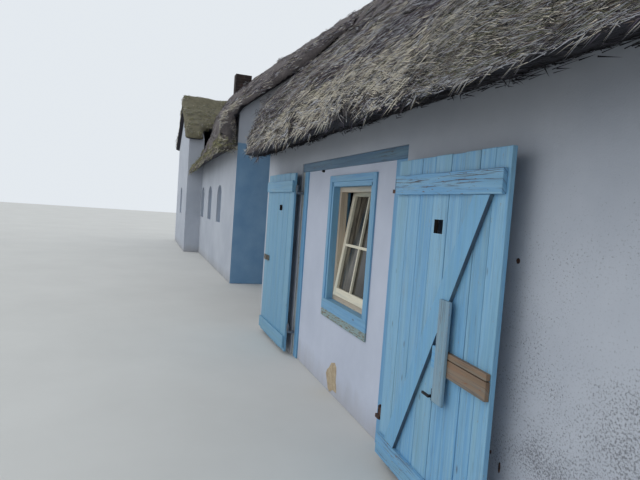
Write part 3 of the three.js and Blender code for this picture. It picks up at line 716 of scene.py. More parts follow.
def gather(name, meshes, material, body, stands_for, place):
    """Joins meshes into one piece and puts it in place."""
    bm = bmesh.new()
    for mesh in meshes:
        bm.from_mesh(mesh)
        bpy.data.meshes.remove(mesh)
    bmesh.ops.transform(bm, matrix=place, verts=bm.verts[:])
    return finished(name, bm, material if isinstance(material, list) else [material], body, stands_for)


WHOLE_PLAN = Matrix.Translation(PLAN_SHIFT)


def on_house(name, meshes, material, stands_for=()):
    """A piece of the house itself, made in plan measures."""
    return gather(name, meshes, material, "house", stands_for, WHOLE_PLAN)


# %% [markdown]
# ## The doorway's frame
# A long lintel and two posts frame the old doorway. They are heavy old timbers, so their
# edges are rounder than a planed board's. The left post is bare and grey where the leaf
# swings past it.

# %% Lintel and posts
HAIR = 0.0003  # the gap that keeps two pieces from sharing a face
DOORWAY_RIGHT, POST_WIDTH, WORN_WIDTH = 2.196, 0.165, 0.063
TIMBER_FRONT, TIMBER_BACK = 0.010, 0.150
LINTEL_FOOT, LINTEL_HEAD = 1.838, 1.919
POST_HEAD = LINTEL_FOOT - HAIR

lintel = board((HAIR, TIMBER_FRONT, LINTEL_FOOT), (DOORWAY_RIGHT - HAIR, TIMBER_BACK, LINTEL_HEAD),
               along=0, ease=0.005, tone=0.2)
on_house("lintel_timber", [lintel], frame_blue, stands_for=["lintel"])
worn_edge = board((HAIR, TIMBER_FRONT, 0), (WORN_WIDTH, TIMBER_BACK, POST_HEAD), ease=0.004, tone=0.9)
left_post = board((WORN_WIDTH + 0.0002, TIMBER_FRONT, 0), (POST_WIDTH, TIMBER_BACK, POST_HEAD),
                  ease=0.004, tone=0.3)
on_house("left_jamb_worn_edge", [worn_edge], worn_post)
on_house("left_jamb_timber", [left_post], casing_blue, stands_for=["left_jamb_post"])
right_post = board((DOORWAY_RIGHT - POST_WIDTH, TIMBER_FRONT, 0),
                   (DOORWAY_RIGHT - HAIR, TIMBER_BACK, POST_HEAD), ease=0.004)
on_house("right_jamb_timber", [right_post], casing_blue, stands_for=["right_jamb_post"])

# %% [markdown]
# ## Window casing
# Flat boards cover the joint between the panel and the window: one over the head, two at
# the sides, and a wide one below. A second, thinner layer stands back inside them, which
# gives the dark line round the opening. The lowest strip of the sill board is worn.

# %% Casing boards
C_LEFT, C_RIGHT, C_FOOT, C_HEAD = 0.796, 1.741, 0.583, 1.774
FRONT, BEHIND = 0.011, 0.0247
STILE, HEAD_BOARD, SILL_TOP, STRIP_TOP = 0.058, 0.052, C_FOOT + 0.150, C_FOOT + 0.062

casing = [
    board((C_LEFT, FRONT, SILL_TOP), (C_LEFT + STILE, BEHIND, C_HEAD), tone=0.3, ease=0.002),
    board((C_RIGHT - STILE, FRONT, SILL_TOP), (C_RIGHT, BEHIND, C_HEAD), tone=0.5, ease=0.002),
    board((C_LEFT + STILE + HAIR, FRONT, C_HEAD - HEAD_BOARD), (C_RIGHT - STILE - HAIR, BEHIND, C_HEAD),
          along=0, tone=0.4, ease=0.002),
    board((C_LEFT, FRONT, STRIP_TOP), (C_RIGHT, BEHIND, SILL_TOP - HAIR), along=0, tone=0.5, ease=0.002)]
on_house("casing_boards", casing, casing_blue, stands_for=["window_casing"])
strip = board((C_LEFT, FRONT + 0.001, C_FOOT), (C_RIGHT, BEHIND, STRIP_TOP - 0.0005), along=0)
on_house("casing_sill_strip", [strip], sill_worn)

# %% Liner inside the casing
LINER_FRONT, LINER_BACK = 0.0185, 0.175
LINER_EDGE, LINER_LAP = 0.090, 0.070
UPRIGHT_HEAD = C_HEAD - LINER_LAP

liner = [
    board((C_LEFT + STILE + HAIR, LINER_FRONT, SILL_TOP), (C_LEFT + LINER_EDGE, LINER_BACK, UPRIGHT_HEAD),
          tone=0.9, ease=0.002),
    board((C_RIGHT - LINER_EDGE, LINER_FRONT, SILL_TOP), (C_RIGHT - STILE - HAIR, LINER_BACK, UPRIGHT_HEAD),
          tone=0.8, ease=0.002),
    board((C_LEFT + LINER_LAP, LINER_FRONT, C_HEAD - LINER_EDGE),
          (C_RIGHT - LINER_LAP, LINER_BACK, C_HEAD - HEAD_BOARD - HAIR), along=0, tone=0.8, ease=0.002),
    board((C_LEFT + LINER_LAP, LINER_FRONT, SILL_TOP - 0.020), (C_RIGHT - LINER_LAP, LINER_BACK, SILL_TOP),
          along=0, tone=0.6, ease=0.002)]
on_house("casing_liner", liner, casing_blue)

# %% [markdown]
# ## Inner frame and leaning sash
# Behind the casing a beige frame holds a cream sash. The sash stands on the frame's foot
# and leans into the room, so it is built upright and then turned about its lower edge.

# %% Inner frame
F_LEFT, F_RIGHT, F_FOOT, F_HEAD, F_BAR = 0.8863, 1.6507, 0.7333, 1.6837, 0.042
F_FRONT, F_BACK = 0.075, 0.135
inner = [
    board((F_LEFT, F_FRONT, F_FOOT), (F_LEFT + F_BAR, F_BACK, F_HEAD)),
    board((F_RIGHT - F_BAR, F_FRONT, F_FOOT), (F_RIGHT, F_BACK, F_HEAD)),
    board((F_LEFT + F_BAR, F_FRONT, F_HEAD - F_BAR), (F_RIGHT - F_BAR, F_BACK, F_HEAD), along=0),
    board((F_LEFT + F_BAR, F_FRONT, F_FOOT), (F_RIGHT - F_BAR, F_BACK, F_FOOT + F_BAR), along=0)]
on_house("window_rebate_frame", inner, beige_board, ["window_inner_frame"])

# %% Sash
LEAN = math.radians(8)
HALF, TALL, RAIL, THICK = 0.338, 0.895, 0.052, 0.038
SASH_FOOT = F_FOOT + F_BAR + HAIR + THICK * math.sin(LEAN)
SASH_MIDDLE, SASH_FACE = 1.2685, 0.060
CROSS_FOOT = TALL * 0.47

sash_stand = Matrix.Translation((SASH_MIDDLE, SASH_FACE, SASH_FOOT))
sash_place = WHOLE_PLAN @ sash_stand @ Matrix.Rotation(-LEAN, 4, "X")
sash = [
    board((-HALF, 0, 0), (-HALF + RAIL, THICK, TALL)), board((HALF - RAIL, 0, 0), (HALF, THICK, TALL)),
    board((-HALF + RAIL, 0.001, TALL - RAIL), (HALF - RAIL, THICK, TALL - 0.001), along=0),
    board((-HALF + RAIL, 0.001, 0.001), (HALF - RAIL, THICK, RAIL + 0.014), along=0),
    board((-0.009, 0.002, RAIL), (0.009, 0.021, TALL - RAIL + 0.004), ease=0.002),
    board((-HALF + RAIL - 0.004, 0, CROSS_FOOT), (HALF - RAIL + 0.004, 0.0205, CROSS_FOOT + 0.022),
          along=0, ease=0.002)]
gather("leaning_sash", sash, cream_board, "house", ["window_sash"], sash_place)

# %% [markdown]
# ## The two leaves
# Each leaf is a row of upright boards, held by ledges across them. The boards are laid
# one by one with a small gap, so the seams are real. The right leaf adds a brace, a bare
# repair, a batten and a hook. Leaf measures run from the hinge pin toward the free edge,
# so one matrix per leaf puts everything in place.

# %% Leaf matrices
RIGHT, LEFT = 1, -1
PIN_OUT = 0.058


def leaf_place(pin_along, side, ajar):
    """Turns leaf measures into frame coordinates, for a leaf that stands ajar by some degrees."""
    pin = plan(pin_along, -PIN_OUT, 0)
    return Matrix.Translation(pin) @ Matrix.Rotation(-side * math.radians(ajar), 4, "Z")


LEAVES = {RIGHT: ("right_leaf", leaf_place(2.205, RIGHT, 2)), LEFT: ("left_leaf", leaf_place(0.050, LEFT, 1))}


def on_leaf(side, name, meshes, material, stands_for=()):
    """A piece that swings with a leaf, made in leaf measures."""
    body, place = LEAVES[side]
    return gather(name, meshes, material, body, stands_for, place)


print("pins at", [tuple(round(c, 3) for c in place.translation) for _, place in LEAVES.values()])


# %% Boards of the leaves
PLANK = 0.024


def leaf_board(side, x0, x1, y0, y1, z0, z1, **more):
    """A board in leaf measures: along the leaf, out from its back face, and up."""
    a, b = sorted((side * x0, side * x1))
    return board((a, y0, z0), (b, y1, z1), **more)


def leaf_boards(side, edges, foot, head, skip, seam=0.0018):
    """Upright boards between the given edges, each a little uneven in thickness and length."""
    made = []
    for start, end in zip(edges, edges[1:]):
        if (start, end) != skip:
            proud = board_draw.uniform(0, 0.002)
            short = board_draw.uniform(0, 0.006)
            made.append(leaf_board(side, start + seam, end - seam, -PLANK + proud, -proud / 2,
                                   foot + short, head - short, ease=0.0025))
    return made


def holed_board(side, x0, x1, foot, head, hole):
    """A board with a square hole: cut into a grid, the hole's faces taken out and its rim closed. The rim
    takes the second material, a near-black painted shade inside the hole.
    """
    hx0, hx1, hz0, hz1 = hole

    def shape(bm):
        upright_cuts = [((side * x, 0, 0), (1, 0, 0)) for x in (hx0, hx1)]
        level_cuts = [((0, 0, z), (0, 0, 1)) for z in (hz0, hz1)]
        for spot, across in upright_cuts + level_cuts:
            geometry = bm.verts[:] + bm.edges[:] + bm.faces[:]
            bmesh.ops.bisect_plane(bm, geom=geometry, plane_co=spot, plane_no=across)
        inside = [f for f in bm.faces if hx0 < side * f.calc_center_median().x < hx1
                  and hz0 < f.calc_center_median().z < hz1 and abs(f.normal.y) > 0.9]
        rim = [e for e in bm.edges if len([f for f in e.link_faces if f in inside]) == 1]
        bmesh.ops.delete(bm, geom=inside, context="FACES_ONLY")
        for face in bmesh.ops.bridge_loops(bm, edges=rim)["faces"]:
            face.material_index = 1
        bmesh.ops.recalc_face_normals(bm, faces=bm.faces[:])
    return leaf_board(side, x0 + 0.0012, x1 - 0.0012, -PLANK, 0, foot, head, ease=0.0025, shape=shape)


right_edges = [0.060, 0.205, 0.345, 0.487, 0.640, 0.755, 0.880, 0.990, 1.100]
right_boards = leaf_boards(RIGHT, right_edges, 0.045, 1.805, skip=(0.487, 0.640))
right_boards.append(holed_board(RIGHT, 0.487, 0.640, 0.048, 1.803, (0.520, 0.606, 1.412, 1.482)))
on_leaf(RIGHT, "right_leaf_planks", right_boards, [leaf_blue, painted_hole_shade], stands_for=["right_leaf_boards"])

left_edges = [0.014, 0.190, 0.370, 0.560, 0.740, 0.890, 1.040]
left_boards = leaf_boards(LEFT, left_edges, 0.030, 1.832, skip=(0.370, 0.560), seam=0.0032)
left_boards.append(holed_board(LEFT, 0.370, 0.560, 0.033, 1.829, (0.408, 0.520, 1.444, 1.502)))
on_leaf(LEFT, "left_leaf_planks", left_boards, [far_leaf_blue, painted_hole_shade], stands_for=["left_leaf_boards"])

# %% [markdown]
# Ledges run across the boards, at the head and the foot of each leaf. Half way up the
# right leaf only a stub of the old ledge is left, and the rest is a bare board in two
# strips, with an upright batten over the joint.

# %% Ledges, repair and batten
OUT, IN = -0.0463, -0.0243


def ledge(side, name, span, rise, material, node_name):
    """One board across a leaf. span is where it starts and ends along the leaf, rise its foot and head."""
    on_leaf(side, name, [leaf_board(side, *span, OUT, IN, *rise, along=0)], material, stands_for=[node_name])


ledge(RIGHT, "right_leaf_head_ledge", (0.072, 1.082), (1.606, 1.714), worn_leaf_blue, "right_leaf_top_ledge")
ledge(RIGHT, "right_leaf_foot_ledge", (0.072, 1.086), (0.062, 0.186), foot_blue, "right_leaf_bottom_ledge")
ledge(RIGHT, "right_leaf_ledge_stub", (0.642, 0.697), (0.762, 0.868), brace_blue,
      "right_leaf_middle_ledge_stub")
repair = [leaf_board(RIGHT, 0.712, 1.094, OUT, IN, 0.752, 0.8345, along=0, tone=0.4),
          leaf_board(RIGHT, 0.712, 1.092, OUT, IN, 0.8385, 0.868, along=0, tone=0.9)]
on_leaf(RIGHT, "right_leaf_bare_ledge", repair, bare_board, ["right_leaf_middle_ledge"])
batten = leaf_board(RIGHT, 0.700, 0.792, -0.0626, -0.0466, 0.612, 1.108)
on_leaf(RIGHT, "right_leaf_cover_batten", [batten], batten_blue, ["right_leaf_batten"])
ledge(LEFT, "left_leaf_head_ledge", (0.026, 1.026), (1.636, 1.750), far_leaf_blue, "left_leaf_top_ledge")
ledge(LEFT, "left_leaf_foot_ledge", (0.026, 1.026), (0.070, 0.190), far_leaf_blue, "left_leaf_bottom_ledge")

# %% [markdown]
# The brace runs from the foot at the hinge side up to the head at the free edge. Its ends
# are cut level to meet the ledges. It starts as a level cube between the two ledges, and
# a shear slides its top sideways, which gives exactly that outline.

# %% Brace
BRACE_START, BRACE_END, BRACE_WIDTH = 0.175, 0.880, 0.1255
BRACE_FOOT, BRACE_HEAD = 0.188, 1.604


def sheared(bm):
    """Slides the board's head to its end, and darkens its steep edge face."""
    slide = (BRACE_END - BRACE_START) / (BRACE_HEAD - BRACE_FOOT)
    for vert in bm.verts:
        vert.co.x += (vert.co.z - BRACE_FOOT) * slide
    bm.normal_update()
    for face in bm.faces:
        face.material_index = 1 if face.normal.x > 0.6 else 0


brace = board((BRACE_START, OUT, BRACE_FOOT), (BRACE_START + BRACE_WIDTH, IN, BRACE_HEAD),
              shape=sheared, tone=0.6)
on_leaf(RIGHT, "right_leaf_brace_board", [brace], [brace_blue, shaded_blue], stands_for=["right_leaf_brace"])

# %% [markdown]
# ## Hinge straps and latch
# The leaves hang on pins. A strap end with a round eye drops over each pin. The eye is a
# small rectangle spun once round its axis, which leaves the hole open.

# %% Straps and eyes
STRAP_FEET = (0.250, 1.640)
EYE_IN, EYE_OUT = 0.008, 0.013


def spun_ring(inner, outer, z0, z1):
    """A ring round the Z axis: a square set upright at its radius, emptied and spun."""
    bm = bmesh.new()
    bmesh.ops.create_grid(bm, x_segments=1, y_segments=1, size=0.5)
    section = Matrix(((outer - inner, 0, 0, (outer + inner) / 2), (0, 0, 0, 0),
                      (0, z1 - z0, 0, (z0 + z1) / 2), (0, 0, 0, 1)))
    bmesh.ops.transform(bm, matrix=section, verts=bm.verts[:])
    rim = bm.edges[:]
    bmesh.ops.delete(bm, geom=bm.faces[:], context="FACES_ONLY")
    bmesh.ops.spin(bm, geom=rim, cent=(0, 0, 0), axis=(0, 0, 1), angle=math.tau, steps=20, use_merge=True)
    bmesh.ops.remove_doubles(bm, verts=bm.verts[:], dist=1e-5)
    bmesh.ops.recalc_face_normals(bm, faces=bm.faces[:])
    return mesh_of("ring", bm)


def strap_set(side, start):
    """Both eyes of a leaf, each with the stub of strap that reaches its boards at start."""
    made = []
    for z in STRAP_FEET:
        made.append(spun_ring(EYE_IN, EYE_OUT, z + 0.002, z + 0.062))
        made.append(leaf_board(side, 0.0115, start + 0.004, -0.009, -0.003, z + 0.006, z + 0.058, ease=0.001))
    return made


on_leaf(RIGHT, "right_leaf_hinge_eyes", strap_set(RIGHT, right_edges[0]), rusty_iron)
on_leaf(LEFT, "left_leaf_hinge_eyes", strap_set(LEFT, left_edges[0]), painted_iron)

# %% Latch of the left leaf
latch = [leaf_board(LEFT, 0.820, 1.036, -0.0323, -0.0243, 0.866, 0.918, along=0, ease=0.002),
         leaf_board(LEFT, 0.812, 1.000, -0.040, -0.0325, 0.862, 0.872, along=0, ease=0.001),
         leaf_board(LEFT, 0.880, 0.930, -0.0443, -0.0325, 0.876, 0.908, along=0, ease=0.002)]
on_leaf(LEFT, "left_leaf_bolt", latch, worn_iron, ["left_leaf_latch"])

# %% [markdown]
# ## Nails, rust and a bare patch
# Small things give the wall its age: a nail hole with rust round it, two rusty streaks low
# down, a knob under the lintel, and a patch beside the doorway where the wash has fallen
# off the plaster. Each is a low disc, squashed to its width and height, that stands a
# few millimetres proud of the wall. Its rim is pushed in and out a little by noise.

# %% Marks on the wall
WALL_FACE, PANEL_FACE = 0.0, 0.025


def mark(x, z, wide, high, face_y, proud=0.003, sides=9, ragged=0.25, taper=0.8):
    """A disc on a face of the house. ragged is how far its rim wanders, and taper shrinks its front."""
    bm = bmesh.new()
    bmesh.ops.create_cone(bm, cap_ends=True, segments=sides, radius1=0.5, radius2=0.5 * taper, depth=1.0)
    for vert in bm.verts:
        push = 1 + ragged * noise.noise(Vector((vert.co.x * 3 + x * 9, vert.co.y * 3 + z * 7, 0.5)))
        vert.co.x *= push
        vert.co.y *= push
    bmesh.ops.transform(bm, matrix=Matrix.Rotation(math.radians(90), 4, "X"), verts=bm.verts[:])
    bmesh.ops.scale(bm, vec=(wide, proud, high), verts=bm.verts[:])
    bmesh.ops.translate(bm, vec=(x, face_y - HAIR - proud / 2, z), verts=bm.verts[:])
    return mesh_of("mark", bm)


rust_marks = [mark(3.251, 1.335, 0.022, 0.026, WALL_FACE, proud=0.004),
              mark(3.254, 0.445, 0.013, 0.050, WALL_FACE),
              mark(3.190, 0.482, 0.010, 0.020, WALL_FACE)]
on_house("wall_nail_and_rust", rust_marks, rusty_iron)
knob = mark(0.590, 1.826, 0.040, 0.022, PANEL_FACE, proud=0.020, sides=8, ragged=0.0)
on_house("panel_knob", [knob], black_iron)
fallen_wash = mark(1.145, 0.128, 0.230, 0.225, PANEL_FACE, sides=20, ragged=0.45, taper=0.93)
on_house("bare_plaster_patch", [fallen_wash], bare_plaster)

# %% [markdown]
# ## Small arched windows
# The frames are solids already. Each gets an upright, a cross bar and a pane, which are
# too thin to be worth solids of their own.

# %% Bars and panes of the arched windows
ARCH_HALF, ARCH_RISE, ARCH_SPRING, ARCH_LEG = 0.262, 0.142, 1.640, 0.545
PANE_THICK = 0.004
arched = {
    "next_front_window_1": (-6.570, 0.190), "next_front_window_2": (-8.190, 0.190),
    "next_front_window_3": (-9.760, 0.190), "near_rear_window": (1.100, 4.650),
    "next_rear_window": (-7.400, 5.550), "wing_front_window": (-12.200, -0.220)}


def arch_pane(middle, y):
    """A flat pane with a round head: a disc squashed to the arch, its lower half drawn down."""
    bm = bmesh.new()
    bmesh.ops.create_circle(bm, cap_ends=True, radius=1.0, segments=24)
    bmesh.ops.transform(bm, matrix=Matrix.Rotation(math.radians(90), 4, "X"), verts=bm.verts[:])
    bmesh.ops.scale(bm, vec=(ARCH_HALF, 1, ARCH_RISE), verts=bm.verts[:])
    for vert in bm.verts:
        if vert.co.z < -0.001:
            vert.co.z = -ARCH_LEG
            vert.co.x = ARCH_HALF * (1 if vert.co.x > 0.02 else -1 if vert.co.x < -0.02 else 0)
    bmesh.ops.remove_doubles(bm, verts=bm.verts[:], dist=0.001)
    bmesh.ops.translate(bm, vec=(middle, y, ARCH_SPRING), verts=bm.verts[:])
    front = bm.faces[:]
    bmesh.ops.solidify(bm, geom=front, thickness=PANE_THICK)
    bmesh.ops.recalc_face_normals(bm, faces=bm.faces[:])
    return mesh_of("pane", bm)


for window, (middle, y) in arched.items():
    upright = board((middle - 0.016, y + 0.012, 1.085), (middle + 0.016, y + 0.040, 1.790), ease=0.002)
    cross = board((middle - 0.268, y + 0.013, 1.395), (middle + 0.268, y + 0.041, 1.423), along=0, ease=0.002)
    on_house(window + "_bars", [upright, cross], casing_blue)
    on_house(window + "_pane", [arch_pane(middle, y + 0.046)], far_pane)

# %% [markdown]
# ## Skin of the thatch
# A reed roof is a thick soft coat with a lumpy skin and loose stems all over it. The skin starts from the
# roof's solid: a voxel remesh gives it even faces, smoothing rounds its edges, and noise pushes it in and
# out. Faces that look down get a near-black material, which is painted shade under the thatch.

# %% Thatch skins
LUMPS = ((1.7, 0.045), (5.5, 0.028))  # repeats a metre, and height in metres
SINK = 0.028
BOX_MARGIN = 0.002


def soften(bm):
    """Rounds and roughens the weathered side. The inner underside stays, because it lies on the walls."""
    bm.normal_update()
    outside = [v for v in bm.verts if v.normal.z > -0.25]
    for _ in range(2):
        bmesh.ops.smooth_vert(bm, verts=outside, factor=0.5,
                              use_axis_x=True, use_axis_y=True, use_axis_z=True)
    bm.normal_update()
    for vert in outside:
        lump = sum(noise.noise(vert.co * repeats) * height for repeats, height in LUMPS)
        vert.co += vert.normal * (lump - SINK)


def keep_in_box(bm):
    """No straw or lump may pass the box of the plain house."""
    for vert in bm.verts:
        for axis in range(3):
            vert.co[axis] = min(max(vert.co[axis], cad_low[axis] + BOX_MARGIN), cad_high[axis] - BOX_MARGIN)


def thatch_shell(node_name, name, voxel, skin=reed_skin):
    """The lumpy skin of one roof, in place of its solid."""
    bm = bmesh.new()
    bm.from_mesh(nodes[node_name].data)
    bmesh.ops.remove_doubles(bm, verts=bm.verts[:], dist=0.0005)
    rough = bpy.data.objects.new("rough_" + name, mesh_of("rough_" + name, bm))
    scene.collection.objects.link(rough)
    remesh = rough.modifiers.new("even_skin", "REMESH")
    remesh.mode = "VOXEL"
    remesh.voxel_size = voxel
    even = rough.evaluated_get(bpy.context.evaluated_depsgraph_get()).to_mesh()
    bm = bmesh.new()
    bm.from_mesh(even)
    bpy.data.objects.remove(rough)
    soften(bm)
    keep_in_box(bm)
    bm.normal_update()
    for face in bm.faces:
        face.smooth = True
        face.material_index = 1 if face.normal.z < -0.35 else 0
    return finished(name, bm, [skin, shaded_reed_underside], "house", [node_name])


shells = {
    "near": thatch_shell("near_roof_thatch", "near_thatch", 0.085),
    "next": thatch_shell("next_roof_thatch", "next_thatch", 0.090),
    "wing": thatch_shell("wing_roof_thatch", "wing_thatch", 0.100, sunlit_skin)}

# %% [markdown]
# ## Handfuls of straw
# Many thousand stems show on the roof. Laying them one by one would be slow, so a few
# dozen are laid in a patch once, a handful, and the roof gets copies of it, turned so that
# the stems run down the slope. A stem is a cone with three sides, and its material slot is
# its tone. Each mix says how many parts of each tone a handful gets.

# %% Mixes of tones
tone_names = list(straw_tones)
mixes = {
    "eave": {"pale": 21, "grey": 3, "brown": 2.5, "moss": 2, "umber": 3, "silver": 9, "soot": 6},
    "near_eave": {"pale": 15, "grey": 3, "brown": 3, "moss": 2.4, "umber": 4.5, "silver": 9, "soot": 9},
    "slope": {"grey": 4, "brown": 3, "umber": 4.5, "pale": 4, "silver": 4.5, "moss": 0.8, "plum": 7,
              "soot": 4.5},
    "mossy": {"moss": 4, "pale": 8, "grey": 3, "silver": 5, "lichen": 2, "brown": 1.5, "umber": 3, "soot": 4},
    "olive": {"moss": 4, "lichen": 2.5, "grey": 2.5, "brown": 2, "umber": 1, "pale": 2},
    "bleached": {"pale": 6, "grey": 2, "brown": 2, "silver": 1.5, "moss": 1},
    "bright_moss": {"lichen": 5, "moss": 3, "pale": 2.5, "umber": 1.5},
    # dark is mostly painted shade, for the lip and the end face under the hood; under is painted shade for
    # faces that look down.
    "dark": {"umber": 4, "brown": 1.5, "soot": 5, "grey": 1.2, "plum": 3, "silver": 0.5},
    "under": {"soot": 10, "umber": 0.6, "plum": 0.8}}
print("mixes:", list(mixes))

# %% One handful
straw_draw = random.Random(21)
LIFT_SPREAD = 5
ROOT_HEIGHTS = (-0.012, 0.010)
THICKNESS_RANGE = (0.6, 1.3)


def handful(mix, count, reach, width, length, thickness, yaw, lift):
    """Straws in a patch reach long and width wide, round the +X direction, on the plane Z = 0."""
    bm = bmesh.new()
    names, weights = list(mixes[mix]), list(mixes[mix].values())
    for _ in range(count):
        long = straw_draw.uniform(*length)
        roll = Matrix.Rotation(straw_draw.uniform(0, 2), 4, "Z")
        rise = math.radians(90 - straw_draw.gauss(lift, LIFT_SPREAD))
        laid = Euler((0, rise, math.radians(straw_draw.gauss(0, yaw)))).to_matrix().to_4x4()
        root = Matrix.Translation((straw_draw.uniform(-reach, reach) / 2 - long / 2,
                                   straw_draw.uniform(-width, width) / 2, straw_draw.uniform(*ROOT_HEIGHTS)))
        radius = thickness * straw_draw.uniform(*THICKNESS_RANGE)
        spike = bmesh.ops.create_cone(
            bm, cap_ends=True, cap_tris=False, segments=3, radius1=radius, radius2=0.0, depth=long,
            matrix=root @ (laid @ roll) @ Matrix.Translation((0, 0, long / 2)))["verts"]
        bmesh.ops.remove_doubles(bm, verts=spike, dist=1e-6)
        tone = tone_names.index(straw_draw.choices(names, weights)[0])
        for vert in spike:
            for face in vert.link_faces if vert.is_valid else ():
                face.material_index = tone
    return mesh_of("handful", bm)


probe = handful("eave", 1, 0.1, 0.1, (0.2, 0.2), 0.003, 0, 0)
print("one straw:", len(probe.vertices), "corners,", len(probe.polygons), "faces")

# %% [markdown]
# A handful lies flat on the face that it is laid on. Its stems point down the slope, and
# then wind and rain have combed them toward the far end, so the whole handful is turned
# by an angle that is larger where the thatch is steep. Faces are drawn by area, so the
# straw lies as thick on a large face as on a small one.


# %% Laying straw on a roof
def down_slope(normal, outward):
    """The way a stem runs: straight down the slope, or outward where the roof is level or faces down."""
    fall = Vector((0, 0, -1)) - normal * -normal.z
    if normal.z < -0.2 or fall.length < 0.12:
        fall = outward - normal * outward.dot(normal)
    return fall.normalized()


SLOPE_SWEEP, LIP_SWEEP, SWEEP_SPREAD = -40, -79, 12
HANDFULS_A_MIX = 3


def sweep_for(normal):
    """The combed angle in degrees, most of all on the steep lip."""
    return SLOPE_SWEEP if normal.z > 0.45 else LIP_SWEEP


def random_spot(mesh, polygon, draw):
    """A place on a face, between a place on its first edge and one on the edge across."""
    corners = [mesh.vertices[i].co for i in polygon.vertices]
    first = corners[0].lerp(corners[1], draw.random())
    across = corners[2].lerp(corners[-1], draw.random())
    return first.lerp(across, draw.random())


def lay_straw(name, shell, spots, keep, mix_for, outward_for, sizes, seed, sweep=sweep_for):
    """Lays handfuls at random spots on the faces of a shell that keep accepts, by area."""
    draw = random.Random(seed)
    stock = {mix: [handful(mix, **sizes) for _ in range(HANDFULS_A_MIX)] for mix in mixes}
    faces, areas = [], []
    for polygon in shell.data.polygons:
        share = keep(polygon.center, polygon.normal)
        if share > 0:
            faces.append(polygon)
            areas.append(polygon.area * share)
    bm = bmesh.new()
    for polygon in draw.choices(faces, areas, k=spots):
        place = random_spot(shell.data, polygon, draw)
        normal = polygon.normal
        along = down_slope(normal, outward_for(place))
        turn_to = Matrix((along, normal.cross(along), normal)).transposed().to_4x4()
        swept = Matrix.Rotation(math.radians(draw.gauss(sweep(normal), SWEEP_SPREAD)), 4, "Z")
        patch = draw.choice(stock[mix_for(place, normal, draw)]).copy()
        patch.transform(Matrix.Translation(place) @ turn_to @ swept)
        bm.from_mesh(patch)
        bpy.data.meshes.remove(patch)
    keep_in_box(bm)
    return finished(name, bm, straw_materials, "house")


def straw_sizes(length, thickness, lift=6, count=48, yaw=15):
    """Patch measures that go with a straw's mean length and its radius."""
    return {"count": count, "reach": length * 2.0, "width": length * 2.0,
            "length": (length * 0.5, length * 1.5), "thickness": thickness, "yaw": yaw, "lift": lift}


print("handfuls made for each mix:", HANDFULS_A_MIX)

# %% [markdown]
# ## Which tones lie where
# The lip of the thatch is dark, which is painted shade under it, and so is the end face under the hood. The
# brow above it is bleached by the sun and also paler as a painted highlight where the sky lights it, and so
# is a rolled verge. Further up the stems are purple brown, partly their own colour and partly painted shade
# on a slope turned from the light, with greenish patches where it stays damp. Noise makes the patches, and a
# little chance blurs every border.

# %% Tones by height
HOOD_TOP = 2.95
NEAR_END_X, RECESS_END_X = plan_x(2.6), plan_x(0.9)
NEAR_FADE, RECESS_FADE = 0.8, 1.6
NEAR_LIP, NEXT_LIP, NEXT_VERGE_TOP = 2.015, 2.26, 3.4


def patch_noise(place):
    return noise.noise(place * 1.1) + 0.5 * noise.noise(place * 3.1)


def clamped(value):
    return min(max(value, 0.0), 1.0)


def on_verge(normal):
    """True on the rounded edge of the thatch that looks toward the near end."""
    return 0.25 < normal.x < 0.8


def mix_above(lip, bleached=0.25, brow="eave", verge_top=9.0):
    """The tones by height above a lip: dark below it, bleached to so many metres, then the slope's own. The
    dark mix below the lip and on the end face under the hood is painted shade, and the bleached brow is
    partly a painted highlight. brow is the bleached mix, and a rolled verge has it up to verge_top."""
    def choose(place, normal, draw):
        if normal.z < -0.10:
            return "under"
        toward_near_end = clamped((place.x - NEAR_END_X) / NEAR_FADE)
        toward_recess = clamped((RECESS_END_X - place.x) / RECESS_FADE)
        rise = place.z - lip + draw.gauss(0, 0.015)
        if on_verge(normal) and 0 < rise and place.z < verge_top:
            return "eave"
        if rise < 0 or (normal.x > 0.8 and place.z < HOOD_TOP):
            return "dark"
        wander = patch_noise(place)
        height = rise * (1 - 0.35 * toward_near_end + 1.1 * toward_recess)
        if height < bleached or (height < bleached + 0.12 and draw.random() < 0.3):
            if draw.random() < toward_near_end:
                return "near_eave"
            return "mossy" if wander > 0.30 else brow
        return "mossy" if wander > 0.45 and draw.random() < 0.4 else ("dark" if wander < -0.3 else "slope")
    return choose


near_mix = mix_above(NEAR_LIP)
print("the bleached brow starts", NEAR_LIP, "m up on the near block,", NEXT_LIP, "m on the next")

# %% [markdown]
# ## Straw on the near block
# The near end of the eave is close to the camera, so its stems are fine and many. They
# grow coarser toward the far end, as the camera can't tell them apart there. The front is
# laid in four parts from near to far, and the rest of its slope in one more.

# %% Near front
FRONT_SIDE = Vector((0, -1, 0))
NEAR_RIDGE_Y = plan_y(2.4)
OVERHANG = -0.18
NEAR_PARTS = (  # name, start and end along the front, top, handfuls, mean length of a stem, its radius
    ("right", 3.0, 4.45, 2.45, 1030, 0.056, 0.0013),
    ("over_right_leaf", 1.9, 3.0, 2.85, 720, 0.060, 0.0022),
    ("over_window", 0.6, 1.9, 3.1, 600, 0.085, 0.0030),
    ("over_left_leaf", -1.2, 0.6, 3.7, 540, 0.095, 0.0034))


def toward_front(place):
    return FRONT_SIDE


def front_part(start, end, foot, brow):
    """Accepts the lip and the slope between two heights and two places along the house."""
    def keep(centre, normal):
        inside = start <= centre.x - PLAN_SHIFT.x < end and centre.y < NEAR_RIDGE_Y and normal.z > OVERHANG
        return float(inside and foot < centre.z < brow)
    return keep


def rest_of_front(centre, normal):
    """Accepts what the four parts leave of the front."""
    along = centre.x - PLAN_SHIFT.x
    done = any(start <= along < end and centre.z < brow for _, start, end, brow, *_ in NEAR_PARTS)
    return float(centre.y < NEAR_RIDGE_Y and normal.z > OVERHANG and not done)


